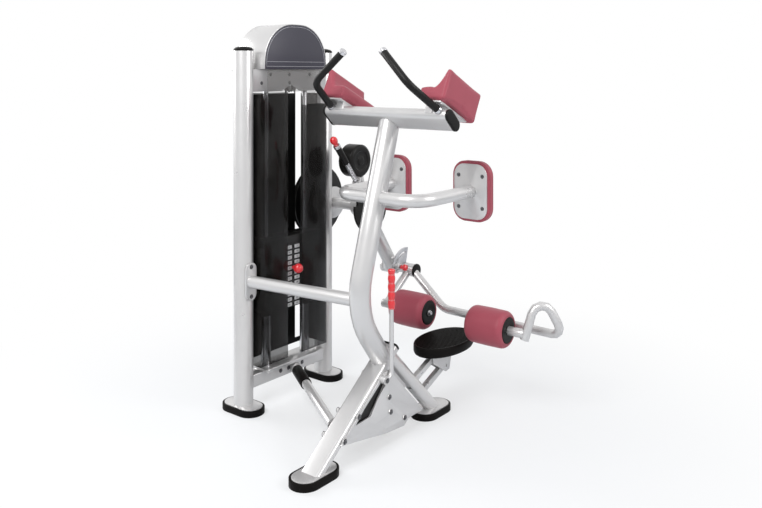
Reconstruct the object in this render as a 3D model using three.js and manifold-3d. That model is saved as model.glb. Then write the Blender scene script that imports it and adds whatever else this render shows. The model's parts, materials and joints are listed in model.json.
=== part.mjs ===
// Selectorised abdominal machine: a weight-stack tower, a tied stand with elbow pads, hand grips,
// hip pads and foot platform, and a counterbalanced swing arm with two roller pads.
// Millimetres. X runs from the tower to the stand, Y from the front feet to the rear, Z up.
// The origin is on the floor under the middle of the whole machine.

import * as THREE from 'three';
import { mergeVertices } from 'three/addons/utils/BufferGeometryUtils.js';
import Module from 'manifold-3d';

const wasm = await Module();
wasm.setup();

// Clearances shared by every fit
const seat = 0.3;
const running = 1;
const turning = 0.5;
const overrun = 20;

// Main places, from the front tower upright's centre on the floor
const stand = { x: 663 };
const pivot = { y: 590, z: 842 };
const rollerAxis = { y: 640, z: 380 };
const knee = { y: 822, z: 508 };

const upright = { diameter: 86, top: 1590, spacing: 520, domeHeight: 12, sides: 24,
  dome: [[0.8, 0.6], [0.4, 0.92], [0, 1]] };
const foot = { length: 215, width: 122, height: 28, rim: 9, recess: 4, plate: 6, steps: 7 };
const frontFoot = { y: -256 };
const rearFoot = { y: 490 };

const beam = { width: 60, height: 56, bottom: 94 };
const shelf = { width: 112, length: 330, thickness: 10 };
const guide = { diameter: 25, spacing: 252, sides: 12 };
const riser = { diameter: 45, height: 226, rubber: 21, rubberDiameter: 47, sides: 16 };
const plate = { length: 350, width: 100, pitch: 24, gap: 0.6, lifted: 5, count: 12, chamfer: 6 };
const topPlate = { height: 40, chamfer: 10 };
const stem = { diameter: 16, height: 60 };
const selector = { diameter: 9, hole: 11, depth: 46, knob: 44, collar: 18, collarLength: 12 };
const cable = { diameter: 6, sides: 8, wrap: 85, wrapSteps: 10 };
const grooveFit = { depth: 1.6, side: 0.6, lip: 2 };

const cover = { thickness: 3, offset: 59, gap: 90, bottom: 186, leftTop: 1398, rightTop: 1338 };
const rearCover = { offset: 59, top: 1388, slotStart: 384, slotWidth: 42, slotBottom: 209 };
const headPulley = { groove: 42, rim: 47, thickness: 16, bore: 13, sides: 20, z: 1440, lug: 5, lugWidth: 34 };
const headFrame = { front: 36, rear: -125, thickness: 6, top: 1502, bottom: 1402, chamfer: 60 };
const header = { near: 60, far: 464, rear: -114, front: 70, bottom: headFrame.top + seat, top: 1709,
  corner: 176,
  wall: 4 };
const panel = { thickness: 4 };

const cam = { x: -100, rim: 176, groove: 166, thickness: 24, boss: 40, bossLength: 52, sides: 32 };
const shaft = { diameter: 34, end: 252, sides: 16 };
const housing = { diameter: 53.4, start: -60, end: 150, flange: 156, flangeThickness: 12, flangeX: -2,
  sides: 20 };
const hub = { diameter: 96, start: 153, end: 231 };
const index = { radius: 120, start: 235, end: 247, notches: 4, notchPitch: 13, notchWidth: 17, notchDepth: 16,
  scallop: 3, margin: 5, recessSteps: 10 };
const swing = { x: 195, tube: 66, sides: 16 };
const counter = { radius: 78, start: 142, end: 226, reach: 229, angle: 102, rod: 46, sides: 28,
  profile: [[0, -1], [0.88, -1], [1, -0.82], [1, 0.82], [0.88, 1], [0.62, 1], [0.58, 0.9], [0.3, 0.9],
  [0.26, 1], [0, 1]] };
const startPin = { angle: 128, rod: 13, knob: 34, knobReach: 428, sleeve: 30, sleeveStart: 285,
  sleeveEnd: 384,
  collar: 34, collarStart: 383, collarEnd: 398, lug: 40, lugNear: 150, lugFar: 172 };

const cross = { diameter: 62, start: 140, end: 345, core: 40, sides: 20 };
const round = { tiny: 8, small: 10, medium: 12 };
const sector = { thickness: 8, x: 270, radius: 106, holeRadius: 84, hole: 12, holes: 5, pitch: 17,
  from: 78, to: 176,
  slot: 9, slotSteps: 8, clear: 8, bridge: 28, bridgeRadius: 60, bridgeAngle: 125 };
const setPin = { angle: 160, rod: 10, nose: 7, holder: 26, sleeve: 20, sleeveLength: 26, knob: 30,
  knobLength: 40, travel: 14 };
const carrier = { tube: 38, sides: 12, behind: 114, below: 14, legOut: 74, easeY: 10, easeZ: 4,
  bendSteps: 4 };
const roller = { radius: 80, length: 186, round: 24, roundSteps: 4, crown: 0.8, face: 60, dish: 5,
  inner: 115, sides: 28 };
const axle = { diameter: 25, stub: 40, stubLength: 40, gap: 2, sides: 16 };
const loop = { far: 1170, apexX: 1082, apexY: 692, apexZ: 572, nearX: 1040, drop: 26, bends: [110, 40, 46] };

const post = { diameter: 86, sides: 20, bend: 290, bendSteps: 7, kneeY: -24, kneeZ: 556, topY: 200,
  topZ: 1303,
  rootY: 150, rootZ: 324 };
const frontLeg = { width: 84, depth: 36, edge: 12, angle: 36.9, topY: -290, topZ: 28, length: 590, cap: 9 };
const rearLeg = { diameter: 60, angle: 45, length: 435, sides: 18, slotWidth: 32, webThickness: 12,
  spacer: 26,
  web: [[112, 190], [140, 116], [236, 66], [262, 96], [300, 190], [200, 310], [112, 260]] };
const gusset = { thickness: 6,
  outline: [[-162, 100], [100, 298], [132, 298], [364, 68], [258, 64], [232, 44], [106, 54], [-40, 80]],
  window: [[75, 264], [113, 252], [56, 204], [15, 153], [-78, 148], [-28, 192]] };
const gussetBolts = [[127, 194], [136, 132], [229, 78], [-63, 178], [-145, 113]];
const spacerCount = 3;
const gussetBolt = { diameter: 20, height: 6, sides: 10 };

const tie = { diameter: 52, startZ: 573, endY: 2, endZ: 596, flangeWidth: 60, flangeHeight: 165, flange: 8,
  sides: 16 };
const strut = { diameter: 40, socketLength: 62, sleeveLength: 190, sleeve: 50, startX: 0, startY: 290,
  startZ: 118,
  endY: -110, endZ: 140, sides: 14 };

const bar = { long: 104, short: 46, tilt: 43, length: 628, y: 186, z: 1303 };
const pad = { slope: 25.6, width: 118, length: 256, base: 50, fin: 130, finTop: 18, finRoot: 36,
  front: 118, z: 1391,
  round: 10, crown: 5, draw: 5, steps: 4, plate: 8, plateGap: 0.5, plateInset: 18, reach: 312, web: 36,
  webNear: 44, webFar: 104,
  webDepth: 44 };
const grip = { diameter: 30, tube: 22, stub: 34, baseX: 275, baseY: 150, baseZ: 1340, bendX: 238, bendY: 0,
  bendZ: 1445,
  topX: 104, topY: 22, topZ: 1568, bend: 60, sides: 12, steps: 5, end: 26, endLength: 10 };
const bow = { diameter: 54, half: 210, y: 105, z: 987, bend: 90, plateY: 478, sides: 14 };
const backPad = { width: 186, height: 258, depth: 46, corner: 62, crown: 12, plate: 5, plateInset: 13,
  steps: 6,
  rings: [[0, 3], [0.12, 0], [0.6, 1], [0.8, 6], [0.92, 20], [1, 46]] };

const lever = { x: 722.4, pivotY: 86, pivotZ: 276, rodY: 131, elbowZ: 276, top: 703, rod: 18, grip: 26,
  gripLength: 156,
  pivotPin: 14, bossDiameter: 34, bossLength: 20, bend: 26, sides: 12 };
const link = { length: 180, angle: 21.9, tube: 24, y: 336, z: 171, offsetY: 82, offsetZ: -56, pin: 10,
  pinSides: 10,
  side: 24, cheek: [0.8, 0.9, 0.2, 0.8] };
const platform = { y: 594, top: 300, half: 180, halfWidth: 108, rim: 42, lip: 8, ribDepth: 3,
  bracket: 6, steps: 36 };

// Colours read as paint, plastic, rubber and upholstery
const paint = new THREE.MeshStandardMaterial({ color: 0xd4d2d2, roughness: 0.35, metalness: 0.25 });
const steel = new THREE.MeshStandardMaterial({ color: 0xb4b4b6, roughness: 0.28, metalness: 0.9 });
const black = new THREE.MeshStandardMaterial({ color: 0x1a1918, roughness: 0.5, metalness: 0.1 });
const rubber = new THREE.MeshStandardMaterial({ color: 0x26211f, roughness: 0.8, metalness: 0 });
const hide = new THREE.MeshStandardMaterial({ color: 0xa85868, roughness: 0.55, metalness: 0 });
const red = new THREE.MeshStandardMaterial({ color: 0xd8202a, roughness: 0.4, metalness: 0 });
const slate = new THREE.MeshStandardMaterial({ color: 0x4a4856, roughness: 0.45, metalness: 0 });
const smoke = new THREE.MeshStandardMaterial({ color: 0x2c2a29, roughness: 0.2, metalness: 0 });

const machine = new THREE.Group();

const radians = THREE.MathUtils.degToRad;

// Keep only closed positions, so that a shape can be cut and joined
function bare(geometry) {
  const copy = geometry.clone();
  for (const name of Object.keys(copy.attributes)) {
    if (name !== 'position') copy.deleteAttribute(name);
  }
  return mergeVertices(copy, 1e-4);
}

function toSolid(geometry) {
  const clean = bare(geometry);
  const vertProperties = new Float32Array(clean.attributes.position.array);
  const triVerts = new Uint32Array(clean.index.array);
  return new wasm.Manifold(new wasm.Mesh({ numProp: 3, vertProperties, triVerts }));
}

function toGeometry(solid) {
  const mesh = solid.getMesh();
  const geometry = new THREE.BufferGeometry();
  geometry.setAttribute('position', new THREE.BufferAttribute(mesh.vertProperties, 3));
  geometry.setIndex(new THREE.BufferAttribute(mesh.triVerts, 1));
  geometry.computeVertexNormals();
  return geometry;
}

function join(...shapes) {
  return toGeometry(shapes.map(toSolid).reduce((sum, next) => sum.add(next)));
}

function cut(shape, ...tools) {
  return toGeometry(tools.map(toSolid).reduce((rest, tool) => rest.subtract(tool), toSolid(shape)));
}

function overlapOf(first, second) {
  return toGeometry(toSolid(first).intersect(toSolid(second)));
}

function placed(geometry, x, y, z) {
  return geometry.clone().translate(x, y, z);
}

function part(name, geometry, material, parent = machine) {
  const mesh = new THREE.Mesh(geometry, material);
  mesh.name = name;
  parent.add(mesh);
  return mesh;
}

function block(x0, x1, y0, y1, z0, z1) {
  const box = new THREE.BoxGeometry(x1 - x0, y1 - y0, z1 - z0);
  return box.translate((x0 + x1) / 2, (y0 + y1) / 2, (z0 + z1) / 2);
}

// A cylinder whose flats lie at the named diameter, standing on z0
function rod(diameter, z0, z1, sides) {
  const geometry = new THREE.CylinderGeometry(diameter / 2, diameter / 2, z1 - z0, sides);
  return geometry.rotateX(Math.PI / 2).translate(0, 0, (z0 + z1) / 2);
}

// A rod along X from x0 to x1 through the point (y, z)
function rodX(diameter, x0, x1, y, z, sides) {
  const geometry = new THREE.CylinderGeometry(diameter / 2, diameter / 2, x1 - x0, sides);
  return geometry.rotateZ(-Math.PI / 2).translate((x0 + x1) / 2, y, z);
}

// A rod between two points
function rodBetween(from, to, diameter, sides) {
  const along = new THREE.Vector3().subVectors(to, from);
  const geometry = new THREE.CylinderGeometry(diameter / 2, diameter / 2, along.length(), sides);
  const turn = new THREE.Quaternion().setFromUnitVectors(new THREE.Vector3(0, 1, 0),
    along.clone().normalize());
  geometry.applyQuaternion(turn);
  const middle = new THREE.Vector3().addVectors(from, to).multiplyScalar(1 / 2);
  return geometry.translate(middle.x, middle.y, middle.z);
}

// A closed outline drawn in the Y-Z plane and given a thickness from x0 to x1
function slabX(points, x0, x1) {
  const shape = new THREE.Shape(points.map(([y, z]) => new THREE.Vector2(y, z)));
  return shapeX(shape, x0, x1);
}

function shapeX(shape, x0, x1, curveSegments = 8) {
  const geometry = new THREE.ExtrudeGeometry(shape, { depth: x1 - x0, bevelEnabled: false, curveSegments });
  geometry.applyMatrix4(new THREE.Matrix4().makeBasis(
    new THREE.Vector3(0, 1, 0), new THREE.Vector3(0, 0, 1), new THREE.Vector3(1, 0, 0)));
  return geometry.translate(x0, 0, 0);
}

function circleHole(shape, x, y, diameter, sides) {
  const hole = new THREE.Path();
  for (let i = 0; i < sides; i += 1) {
    const angle = -2 * Math.PI * i / sides;
    const px = x + diameter / 2 * Math.cos(angle);
    const py = y + diameter / 2 * Math.sin(angle);
    if (i === 0) hole.moveTo(px, py); else hole.lineTo(px, py);
  }
  hole.closePath();
  shape.holes.push(hole);
}

// A racetrack outline, long along the first axis
function racetrack(length, width) {
  const radius = width / 2;
  const reach = length / 2 - radius;
  const shape = new THREE.Shape();
  shape.moveTo(-reach, -radius);
  shape.lineTo(reach, -radius);
  shape.absarc(reach, 0, radius, -Math.PI / 2, Math.PI / 2, false);
  shape.lineTo(-reach, radius);
  shape.absarc(-reach, 0, radius, Math.PI / 2, 3 * Math.PI / 2, false);
  return shape;
}

// The points of an outline, with none so near the one before it that they would merge
function outlinePoints(shape, steps) {
  const points = shape.extractPoints(steps).shape;
  return points.filter((p,
    i) => p.distanceTo(points[(i + points.length - 1) % points.length]) > seat / overrun);
}

function roundedRectangle(width, height, corner) {
  const x = width / 2;
  const y = height / 2;
  const shape = new THREE.Shape();
  shape.moveTo(-x + corner, -y);
  shape.lineTo(x - corner, -y);
  shape.absarc(x - corner, -y + corner, corner, -Math.PI / 2, 0, false);
  shape.lineTo(x, y - corner);
  shape.absarc(x - corner, y - corner, corner, 0, Math.PI / 2, false);
  shape.lineTo(-x + corner, y);
  shape.absarc(-x + corner, y - corner, corner, Math.PI / 2, Math.PI, false);
  shape.lineTo(-x, -y + corner);
  shape.absarc(-x + corner, -y + corner, corner, Math.PI, 3 * Math.PI / 2, false);
  return shape;
}

// A centreline of straight runs joined by round bends, sampled only at the ends of its runs and along its bends
class BentPath extends THREE.Curve {
  constructor(corners, bends, bendSteps) {
    super();
    this.stations = [];
    const last = corners.length - 1;
    const add = (point, tangent) => this.stations.push({ point, tangent });
    for (let i = 0; i <= last; i += 1) {
      const here = corners[i];
      if (i === 0 || i === last) {
        const other = corners[i === 0 ? 1 : last - 1];
        const tangent = new THREE.Vector3().subVectors(here, other).normalize();
        add(here.clone(), i === 0 ? tangent.negate() : tangent);
        continue;
      }
      const into = new THREE.Vector3().subVectors(here, corners[i - 1]).normalize();
      const out = new THREE.Vector3().subVectors(corners[i + 1], here).normalize();
      const turn = into.angleTo(out);
      const bend = Array.isArray(bends) ? bends[i - 1] : bends;
      const setback = bend * Math.tan(turn / 2);
      const start = here.clone().addScaledVector(into, -setback);
      const axis = new THREE.Vector3().crossVectors(into, out).normalize();
      const inward = new THREE.Vector3().crossVectors(axis, into);
      const centre = start.clone().addScaledVector(inward, bend);
      for (let k = 0; k <= bendSteps; k += 1) {
        const angle = turn * k / bendSteps;
        const arm = new THREE.Vector3().subVectors(start, centre).applyAxisAngle(axis, angle);
        add(arm.add(centre), into.clone().applyAxisAngle(axis, angle));
      }
    }
  }

  station(u) {
    return this.stations[Math.round(u * (this.stations.length - 1))];
  }

  getPoint(u) {
    return this.station(u).point.clone();
  }

  getPointAt(u) {
    return this.station(u).point.clone();
  }

  getTangentAt(u) {
    return this.station(u).tangent.clone();
  }
}

function bentTube(corners, bend, diameter, sides, bendSteps = carrier.bendSteps) {
  const path = new BentPath(corners, bend, bendSteps);
  const section = new THREE.Shape();
  for (let i = 0; i < sides; i += 1) {
    const angle = 2 * Math.PI * i / sides;
    const x = diameter / 2 * Math.cos(angle);
    const y = diameter / 2 * Math.sin(angle);
    if (i === 0) section.moveTo(x, y); else section.lineTo(x, y);
  }
  section.closePath();
  const steps = path.stations.length - 1;
  return new THREE.ExtrudeGeometry(section, { steps, extrudePath: path, bevelEnabled: false });
}

function point(x, y, z) {
  return new THREE.Vector3(x, y, z);
}

// A point at a reach and an angle round an axis along X
function around(centre, reach, degrees) {
  return { y: centre.y + reach * Math.cos(radians(degrees)),
    z: centre.z + reach * Math.sin(radians(degrees)) };
}

// Rubber shoes and the steel plates let into them
const plateBottom = foot.height - foot.recess + seat;
const plateTop = plateBottom + foot.plate;

function rubberShoe() {
  const outer = new THREE.ExtrudeGeometry(racetrack(foot.length, foot.width),
    { depth: foot.height, bevelEnabled: false, curveSegments: foot.steps });
  const pocket = new THREE.ExtrudeGeometry(racetrack(foot.length - 2 * foot.rim, foot.width - 2 * foot.rim),
    { depth: foot.recess + overrun, bevelEnabled: false, curveSegments: foot.steps });
  return cut(outer, placed(pocket, 0, 0, foot.height - foot.recess));
}

function footPlate() {
  const inset = 2 * (foot.rim + seat);
  const geometry = new THREE.ExtrudeGeometry(racetrack(foot.length - inset, foot.width - inset),
    { depth: foot.plate, bevelEnabled: false, curveSegments: foot.steps });
  return geometry.translate(0, 0, plateBottom);
}

const shoe = rubberShoe();
const shoePlaces = [
  ['foot_tower_front', 0, 0, 0],
  ['foot_tower_rear', 0, upright.spacing, 0],
  ['foot_stand_front', stand.x, frontFoot.y, Math.PI / 2],
  ['foot_stand_rear', stand.x, rearFoot.y, Math.PI / 2],
];
for (const [name, x, y, turn] of shoePlaces) {
  const mesh = part(name, shoe, rubber);
  mesh.position.set(x, y, 0);
  mesh.rotation.z = turn;
}

// Tower uprights with a low dome on top
function uprightTube() {
  const half = upright.diameter / 2;
  const profile = [
    new THREE.Vector2(0, plateBottom + foot.plate / 2),
    new THREE.Vector2(half, plateBottom + foot.plate / 2),
    new THREE.Vector2(half, upright.top),
    ...upright.dome.map(([out, up]) => new THREE.Vector2(half * out, upright.top + upright.domeHeight * up)),
  ];
  const tube = new THREE.LatheGeometry(profile, upright.sides).rotateX(Math.PI / 2);
  return join(footPlate(), tube);
}

part('upright_front', uprightTube(), paint);
part('upright_rear', uprightTube(), paint).position.y = upright.spacing;

const uprightFace = upright.diameter / 2 + seat;
const middle = upright.spacing / 2;
const beamTop = beam.bottom + beam.height;
const shelfTop = beamTop + shelf.thickness;

// Low beam between the uprights, with the shelf that carries the stack
function uprightClearance(y) {
  return placed(rod(upright.diameter + 2 * seat, 0, upright.top + overrun, upright.sides), 0, y, 0);
}

function stackBase() {
  const tube = block(-beam.width / 2, beam.width / 2, 0, upright.spacing, beam.bottom, beamTop);
  const top = block(-shelf.width / 2, shelf.width / 2, middle - shelf.length / 2, middle + shelf.length / 2,
    beamTop - shelf.thickness / 2, shelfTop);
  return cut(join(tube, top), uprightClearance(0), uprightClearance(upright.spacing));
}
part('stack_base', stackBase(), paint);

// Guide rods and the risers that the stack rests on
const stackBottom = shelfTop + seat + riser.height + riser.rubber + seat;
const rodTop = headFrame.top - headFrame.thickness - seat;
const guideSides = [['front', middle - guide.spacing / 2], ['rear', middle + guide.spacing / 2]];
const riserShape = cut(
  join(rod(riser.diameter, 0, riser.height, riser.sides),
    rod(riser.rubberDiameter, riser.height - seat, riser.height + riser.rubber, riser.sides)),
  rod(guide.diameter + 2 * running, -overrun, riser.height + riser.rubber + overrun, guide.sides));
for (const [side, y] of guideSides) {
  part(`guide_rod_${side}`, rod(guide.diameter, shelfTop + seat, rodTop, guide.sides), steel).position.y = y;
  part(`stack_riser_${side}`, riserShape, steel).position.set(0, y, shelfTop + seat);
}

// Weight plates: the chosen ones hang on the selector, the rest stay on the risers
function plateOutline(length, width, chamfer) {
  const x = width / 2;
  const y = length / 2;
  const shape = new THREE.Shape([
    new THREE.Vector2(-x + chamfer, -y), new THREE.Vector2(x - chamfer, -y), new THREE.Vector2(x,
      -y + chamfer),
    new THREE.Vector2(x, y - chamfer), new THREE.Vector2(x - chamfer, y), new THREE.Vector2(-x + chamfer, y),
    new THREE.Vector2(-x, y - chamfer), new THREE.Vector2(-x, -y + chamfer)]);
  const rodHole = guide.diameter + 2 * running;
  circleHole(shape, 0, -guide.spacing / 2, rodHole, guide.sides);
  circleHole(shape, 0, guide.spacing / 2, rodHole, guide.sides);
  return shape;
}

function pinHole(height) {
  return rodX(selector.hole, plate.width / 2 - selector.depth - running, plate.width / 2 + overrun, 0,
    height, 8);
}

function weightPlate() {
  const depth = plate.pitch - plate.gap;
  const slab = new THREE.ExtrudeGeometry(plateOutline(plate.length, plate.width, plate.chamfer),
    { depth, bevelEnabled: false });
  return cut(slab, pinHole(depth / 2));
}

const stackTop = stackBottom + plate.count * plate.pitch;
const plateShape = weightPlate();
for (let i = 1; i <= plate.lifted; i += 1) {
  const mesh = part(`weight_plate_${i}`, plateShape, black);
  mesh.position.set(0, middle, stackTop - i * plate.pitch);
}

// The plates below the selector, one block with a groove at every joint line
function restingPlates() {
  const count = plate.count - plate.lifted;
  const depth = count * plate.pitch - plate.gap;
  const core = new THREE.ExtrudeGeometry(plateOutline(plate.length - 2 * plate.gap,
    plate.width - 2 * plate.gap,
    plate.chamfer), { depth, bevelEnabled: false });
  let stack = toSolid(core);
  for (let i = 0; i < count; i += 1) {
    const slab = new THREE.ExtrudeGeometry(plateOutline(plate.length, plate.width, plate.chamfer),
      { depth: plate.pitch - plate.gap, bevelEnabled: false });
    stack = stack.add(toSolid(slab.translate(0, 0, i * plate.pitch)));
    stack = stack.subtract(toSolid(pinHole(i * plate.pitch + plate.pitch / 2)));
  }
  return toGeometry(stack);
}
part('weight_plates_resting', restingPlates(), black).position.set(0, middle, stackBottom);

// Top plate with the stem that the cable pulls
function liftingPlate() {
  const slab = new THREE.ExtrudeGeometry(plateOutline(plate.length, plate.width, topPlate.chamfer),
    { depth: topPlate.height, bevelEnabled: false });
  return join(slab, rod(stem.diameter, topPlate.height - seat, topPlate.height + stem.height, guide.sides));
}
part('top_plate', liftingPlate(), black).position.set(0, middle, stackTop);

const selectorZ = stackTop - plate.lifted * plate.pitch + (plate.pitch - plate.gap) / 2;
const plateFace = plate.width / 2;
const pinShape = join(
  rodX(selector.diameter, plateFace - selector.depth, plateFace + selector.collarLength, 0, 0, round.tiny),
  rodX(selector.collar, plateFace + seat, plateFace + selector.collarLength, 0, 0, guide.sides),
  placed(new THREE.SphereGeometry(selector.knob / 2,
    round.medium, round.tiny), plateFace + selector.collarLength + selector.knob / 2 - 1, 0, 0));
part('selector_pin', pinShape, red).position.set(0, middle, selectorZ);

// Cable route: up from the stack, over two head pulleys and down to the cam
const stemTop = { y: middle, z: stackTop + topPlate.height + stem.height };
const camSide = { x: cam.x, y: pivot.y - cam.groove };
const across = new THREE.Vector3(camSide.x, camSide.y - middle, 0);
const headLine = across.clone().normalize();
const innerPulley = point(0, middle, headPulley.z).addScaledVector(headLine, headPulley.groove);
const outerPulley = point(camSide.x, camSide.y, headPulley.z).addScaledVector(headLine, -headPulley.groove);
const headTurn = Math.atan2(headLine.y, headLine.x);

// A pulley turning about its own Y axis
function grooved(rim, groove, thickness, bore, sides) {
  const half = thickness / 2;
  const floor = groove - cable.diameter / 2 - grooveFit.depth;
  const floorHalf = cable.diameter / 2 + grooveFit.side;
  const profile = [
    new THREE.Vector2(bore / 2, -half), new THREE.Vector2(rim, -half), new THREE.Vector2(rim,
      grooveFit.lip - half),
    new THREE.Vector2(floor, -floorHalf), new THREE.Vector2(floor, floorHalf),
    new THREE.Vector2(rim, half - grooveFit.lip),
    new THREE.Vector2(rim, half), new THREE.Vector2(bore / 2, half), new THREE.Vector2(bore / 2, -half)];
  return new THREE.LatheGeometry(profile, sides);
}

const pulleyShape = grooved(headPulley.rim, headPulley.groove, headPulley.thickness, headPulley.bore,
  headPulley.sides);
for (const [name, centre] of [['head_pulley_inner', innerPulley], ['head_pulley_outer', outerPulley]]) {
  const holder = new THREE.Group();
  holder.position.copy(centre);
  holder.rotation.z = headTurn;
  machine.add(holder);
  part(name, pulleyShape, black, holder);
}

// Head frame: a front plate, a top plate and the lugs and pins that carry the pulleys
function pulleyHanger(centre) {
  const side = headPulley.thickness / 2 + running;
  const halfWidth = headPulley.lugWidth / 2;
  const top = headFrame.top - headFrame.thickness / 2 - headPulley.z;
  const lugs = [-1, 1].map((way) => block(-halfWidth, halfWidth, way * side + Math.min(0,
    way * headPulley.lug),
    way * side + Math.max(0, way * headPulley.lug), -halfWidth, top));
  const pin = new THREE.CylinderGeometry(headPulley.bore / 2 - running, headPulley.bore / 2 - running,
    2 * (side + headPulley.lug / 2), 12);
  const hanger = join(...lugs, pin);
  hanger.rotateZ(headTurn);
  return hanger.translate(centre.x, centre.y, centre.z);
}

function headFrameShape() {
  const face = [
    [0, headFrame.top], [0, headFrame.bottom], [upright.spacing / 2 - headFrame.chamfer, headFrame.bottom],
    [upright.spacing / 2, headFrame.bottom + headFrame.chamfer / 2],
    [upright.spacing / 2 + headFrame.chamfer, headFrame.bottom], [upright.spacing, headFrame.bottom],
    [upright.spacing, headFrame.top]];
  const front = slabX(face, headFrame.front - headFrame.thickness, headFrame.front);
  const top = block(headFrame.rear, headFrame.front, upright.diameter / 2,
    upright.spacing - upright.diameter / 2,
    headFrame.top - headFrame.thickness, headFrame.top);
  const frame = join(front, top, pulleyHanger(innerPulley), pulleyHanger(outerPulley));
  return cut(frame, uprightClearance(0), uprightClearance(upright.spacing));
}
part('head_frame', headFrameShape(), paint);

// Header: a bent cover and a flat display panel with round shoulders
function archOutline(inset) {
  const near = header.near + inset;
  const far = header.far - inset;
  const top = header.top - inset;
  const radius = header.corner - inset;
  const shape = new THREE.Shape();
  shape.moveTo(near, header.bottom);
  shape.lineTo(far, header.bottom);
  shape.lineTo(far, top - radius);
  shape.absarc(far - radius, top - radius, radius, 0, Math.PI / 2, false);
  shape.lineTo(near + radius, top);
  shape.absarc(near + radius, top - radius, radius, Math.PI / 2, Math.PI, false);
  return shape;
}

function headerCover() {
  const outer = shapeX(archOutline(0), header.rear, header.front, foot.steps);
  const shape = archOutline(header.wall);
  const inner = shapeX(shape, header.rear + header.wall, header.front + overrun, foot.steps);
  const mouth = block(header.rear + header.wall, header.front + overrun, header.near + header.wall,
    header.far - header.wall, header.bottom - overrun, header.bottom + overrun);
  return cut(outer, inner, mouth);
}
part('header_cover', headerCover(), paint);
const panelInset = header.wall + seat;
part('header_panel', shapeX(archOutline(panelInset), header.front - panel.thickness, header.front,
  foot.steps), slate);

// Stack covers: smoked sheets in front, one black sheet with a long slot behind
function coverSheet(nearY, farY, face, flangeY, bottom, top) {
  const flangeX = Math.sign(face) * seat;
  const outer = face + Math.sign(face) * cover.thickness;
  const wall = block(Math.min(face, outer), Math.max(face, outer), nearY, farY, bottom, top);
  const inward = flangeY < middle ? 1 : -1;
  const edge = flangeY + inward * cover.thickness;
  const flange = block(Math.min(flangeX, outer), Math.max(flangeX, outer), Math.min(flangeY, edge),
    Math.max(flangeY, edge), bottom, top);
  return join(wall, flange);
}

const coverNear = uprightFace;
const coverFar = upright.spacing - uprightFace;
part('front_cover_left',
  coverSheet(coverNear, middle - cover.gap / 2, cover.offset, coverNear, cover.bottom, cover.leftTop), smoke);
part('front_cover_right',
  coverSheet(middle + cover.gap / 2, coverFar, cover.offset, coverFar, cover.bottom, cover.rightTop), smoke);

function slottedCover() {
  const near = coverSheet(coverNear, coverFar, -rearCover.offset, coverNear, cover.bottom, rearCover.top);
  const far = coverSheet(coverNear, coverFar, -rearCover.offset, coverFar, cover.bottom, rearCover.top);
  const slot = block(-rearCover.offset - overrun, -rearCover.offset + overrun, rearCover.slotStart,
    rearCover.slotStart + rearCover.slotWidth, rearCover.slotBottom, rearCover.top + overrun);
  return cut(join(near, far), slot);
}
part('rear_cover', slottedCover(), black);

// Cables
part('cable_stack', rodBetween(point(0, stemTop.y, stemTop.z + seat),
  point(0, middle, headPulley.z - seat), cable.diameter, cable.sides), black);

function headCable() {
  const top = headPulley.z + headPulley.groove;
  const wrap = radians(cable.wrap);
  const reach = cam.groove * Math.tan(wrap / 2);
  const low = pivot.z - reach;
  const corners = [point(0, middle, headPulley.z), point(0, middle, top), point(camSide.x, camSide.y, top),
    point(camSide.x, camSide.y, low),
    point(camSide.x, camSide.y + (reach + cam.groove / overrun) * Math.sin(wrap),
      low - (reach + cam.groove / overrun) * Math.cos(wrap))];
  const bends = [headPulley.groove, headPulley.groove, cam.groove];
  return bentTube(corners, bends, cable.diameter, cable.sides, cable.wrapSteps);
}
part('cable_head', headCable(), black);

// Cam, shaft and index disc: one turning unit
function camShaft() {
  const disc = grooved(cam.rim, cam.groove, cam.thickness, 0, cam.sides).rotateZ(-Math.PI / 2)
    .translate(cam.x, pivot.y, pivot.z);
  const boss = rodX(2 * cam.boss, cam.x - cam.bossLength / 2, cam.x + cam.bossLength / 2, pivot.y, pivot.z,
    housing.sides);
  const core = rodX(shaft.diameter, cam.x - cam.bossLength / 2 - overrun, shaft.end, pivot.y, pivot.z,
    shaft.sides);
  const plateDisc = rodX(2 * index.radius, index.start, index.end, pivot.y, pivot.z, cam.sides);
  const notches = [];
  for (let i = 0; i < index.notches; i += 1) {
    const angle = startPin.angle + i * index.notchPitch;
    const outside = around(pivot, index.radius + overrun, angle);
    const inside = around(pivot, index.radius - index.notchDepth - index.scallop, angle);
    notches.push(rodBetween(point((index.start + index.end) / 2, inside.y, inside.z),
      point((index.start + index.end) / 2, outside.y, outside.z), index.notchWidth, shaft.sides));
  }
  return cut(join(disc, boss, core, plateDisc), indexRecess(), ...notches);
}

// The stretch of rim cut back so that the start pin can pass from notch to notch
function indexRecess() {
  const shape = new THREE.Shape();
  const first = startPin.angle - index.margin;
  const last = startPin.angle + (index.notches - 1) * index.notchPitch + index.margin;
  const floor = index.radius - index.notchDepth;
  for (let i = 0; i <= index.recessSteps; i += 1) {
    const spot = around(pivot, floor, first + (last - first) * i / index.recessSteps);
    if (i === 0) shape.moveTo(spot.y, spot.z); else shape.lineTo(spot.y, spot.z);
  }
  for (const angle of [last, (first + last) / 2, first]) {
    const spot = around(pivot, 2 * index.radius, angle);
    shape.lineTo(spot.y, spot.z);
  }
  shape.closePath();
  return shapeX(shape, index.start - running, index.end + running);
}
part('cam_shaft', camShaft(), black);

function axleHousing() {
  const tube = rodX(housing.diameter, housing.start, housing.end, pivot.y, pivot.z, housing.sides);
  const flange = rodX(housing.flange, housing.flangeX, housing.flangeX + housing.flangeThickness, pivot.y,
    pivot.z,
    upright.sides);
  const bore = rodX(shaft.diameter + 2 * turning, housing.start - overrun, housing.end + overrun, pivot.y,
    pivot.z,
    2 * shaft.sides);
  return cut(join(tube, flange), bore, uprightClearance(upright.spacing));
}
part('axle_housing', axleHousing(), paint);

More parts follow.
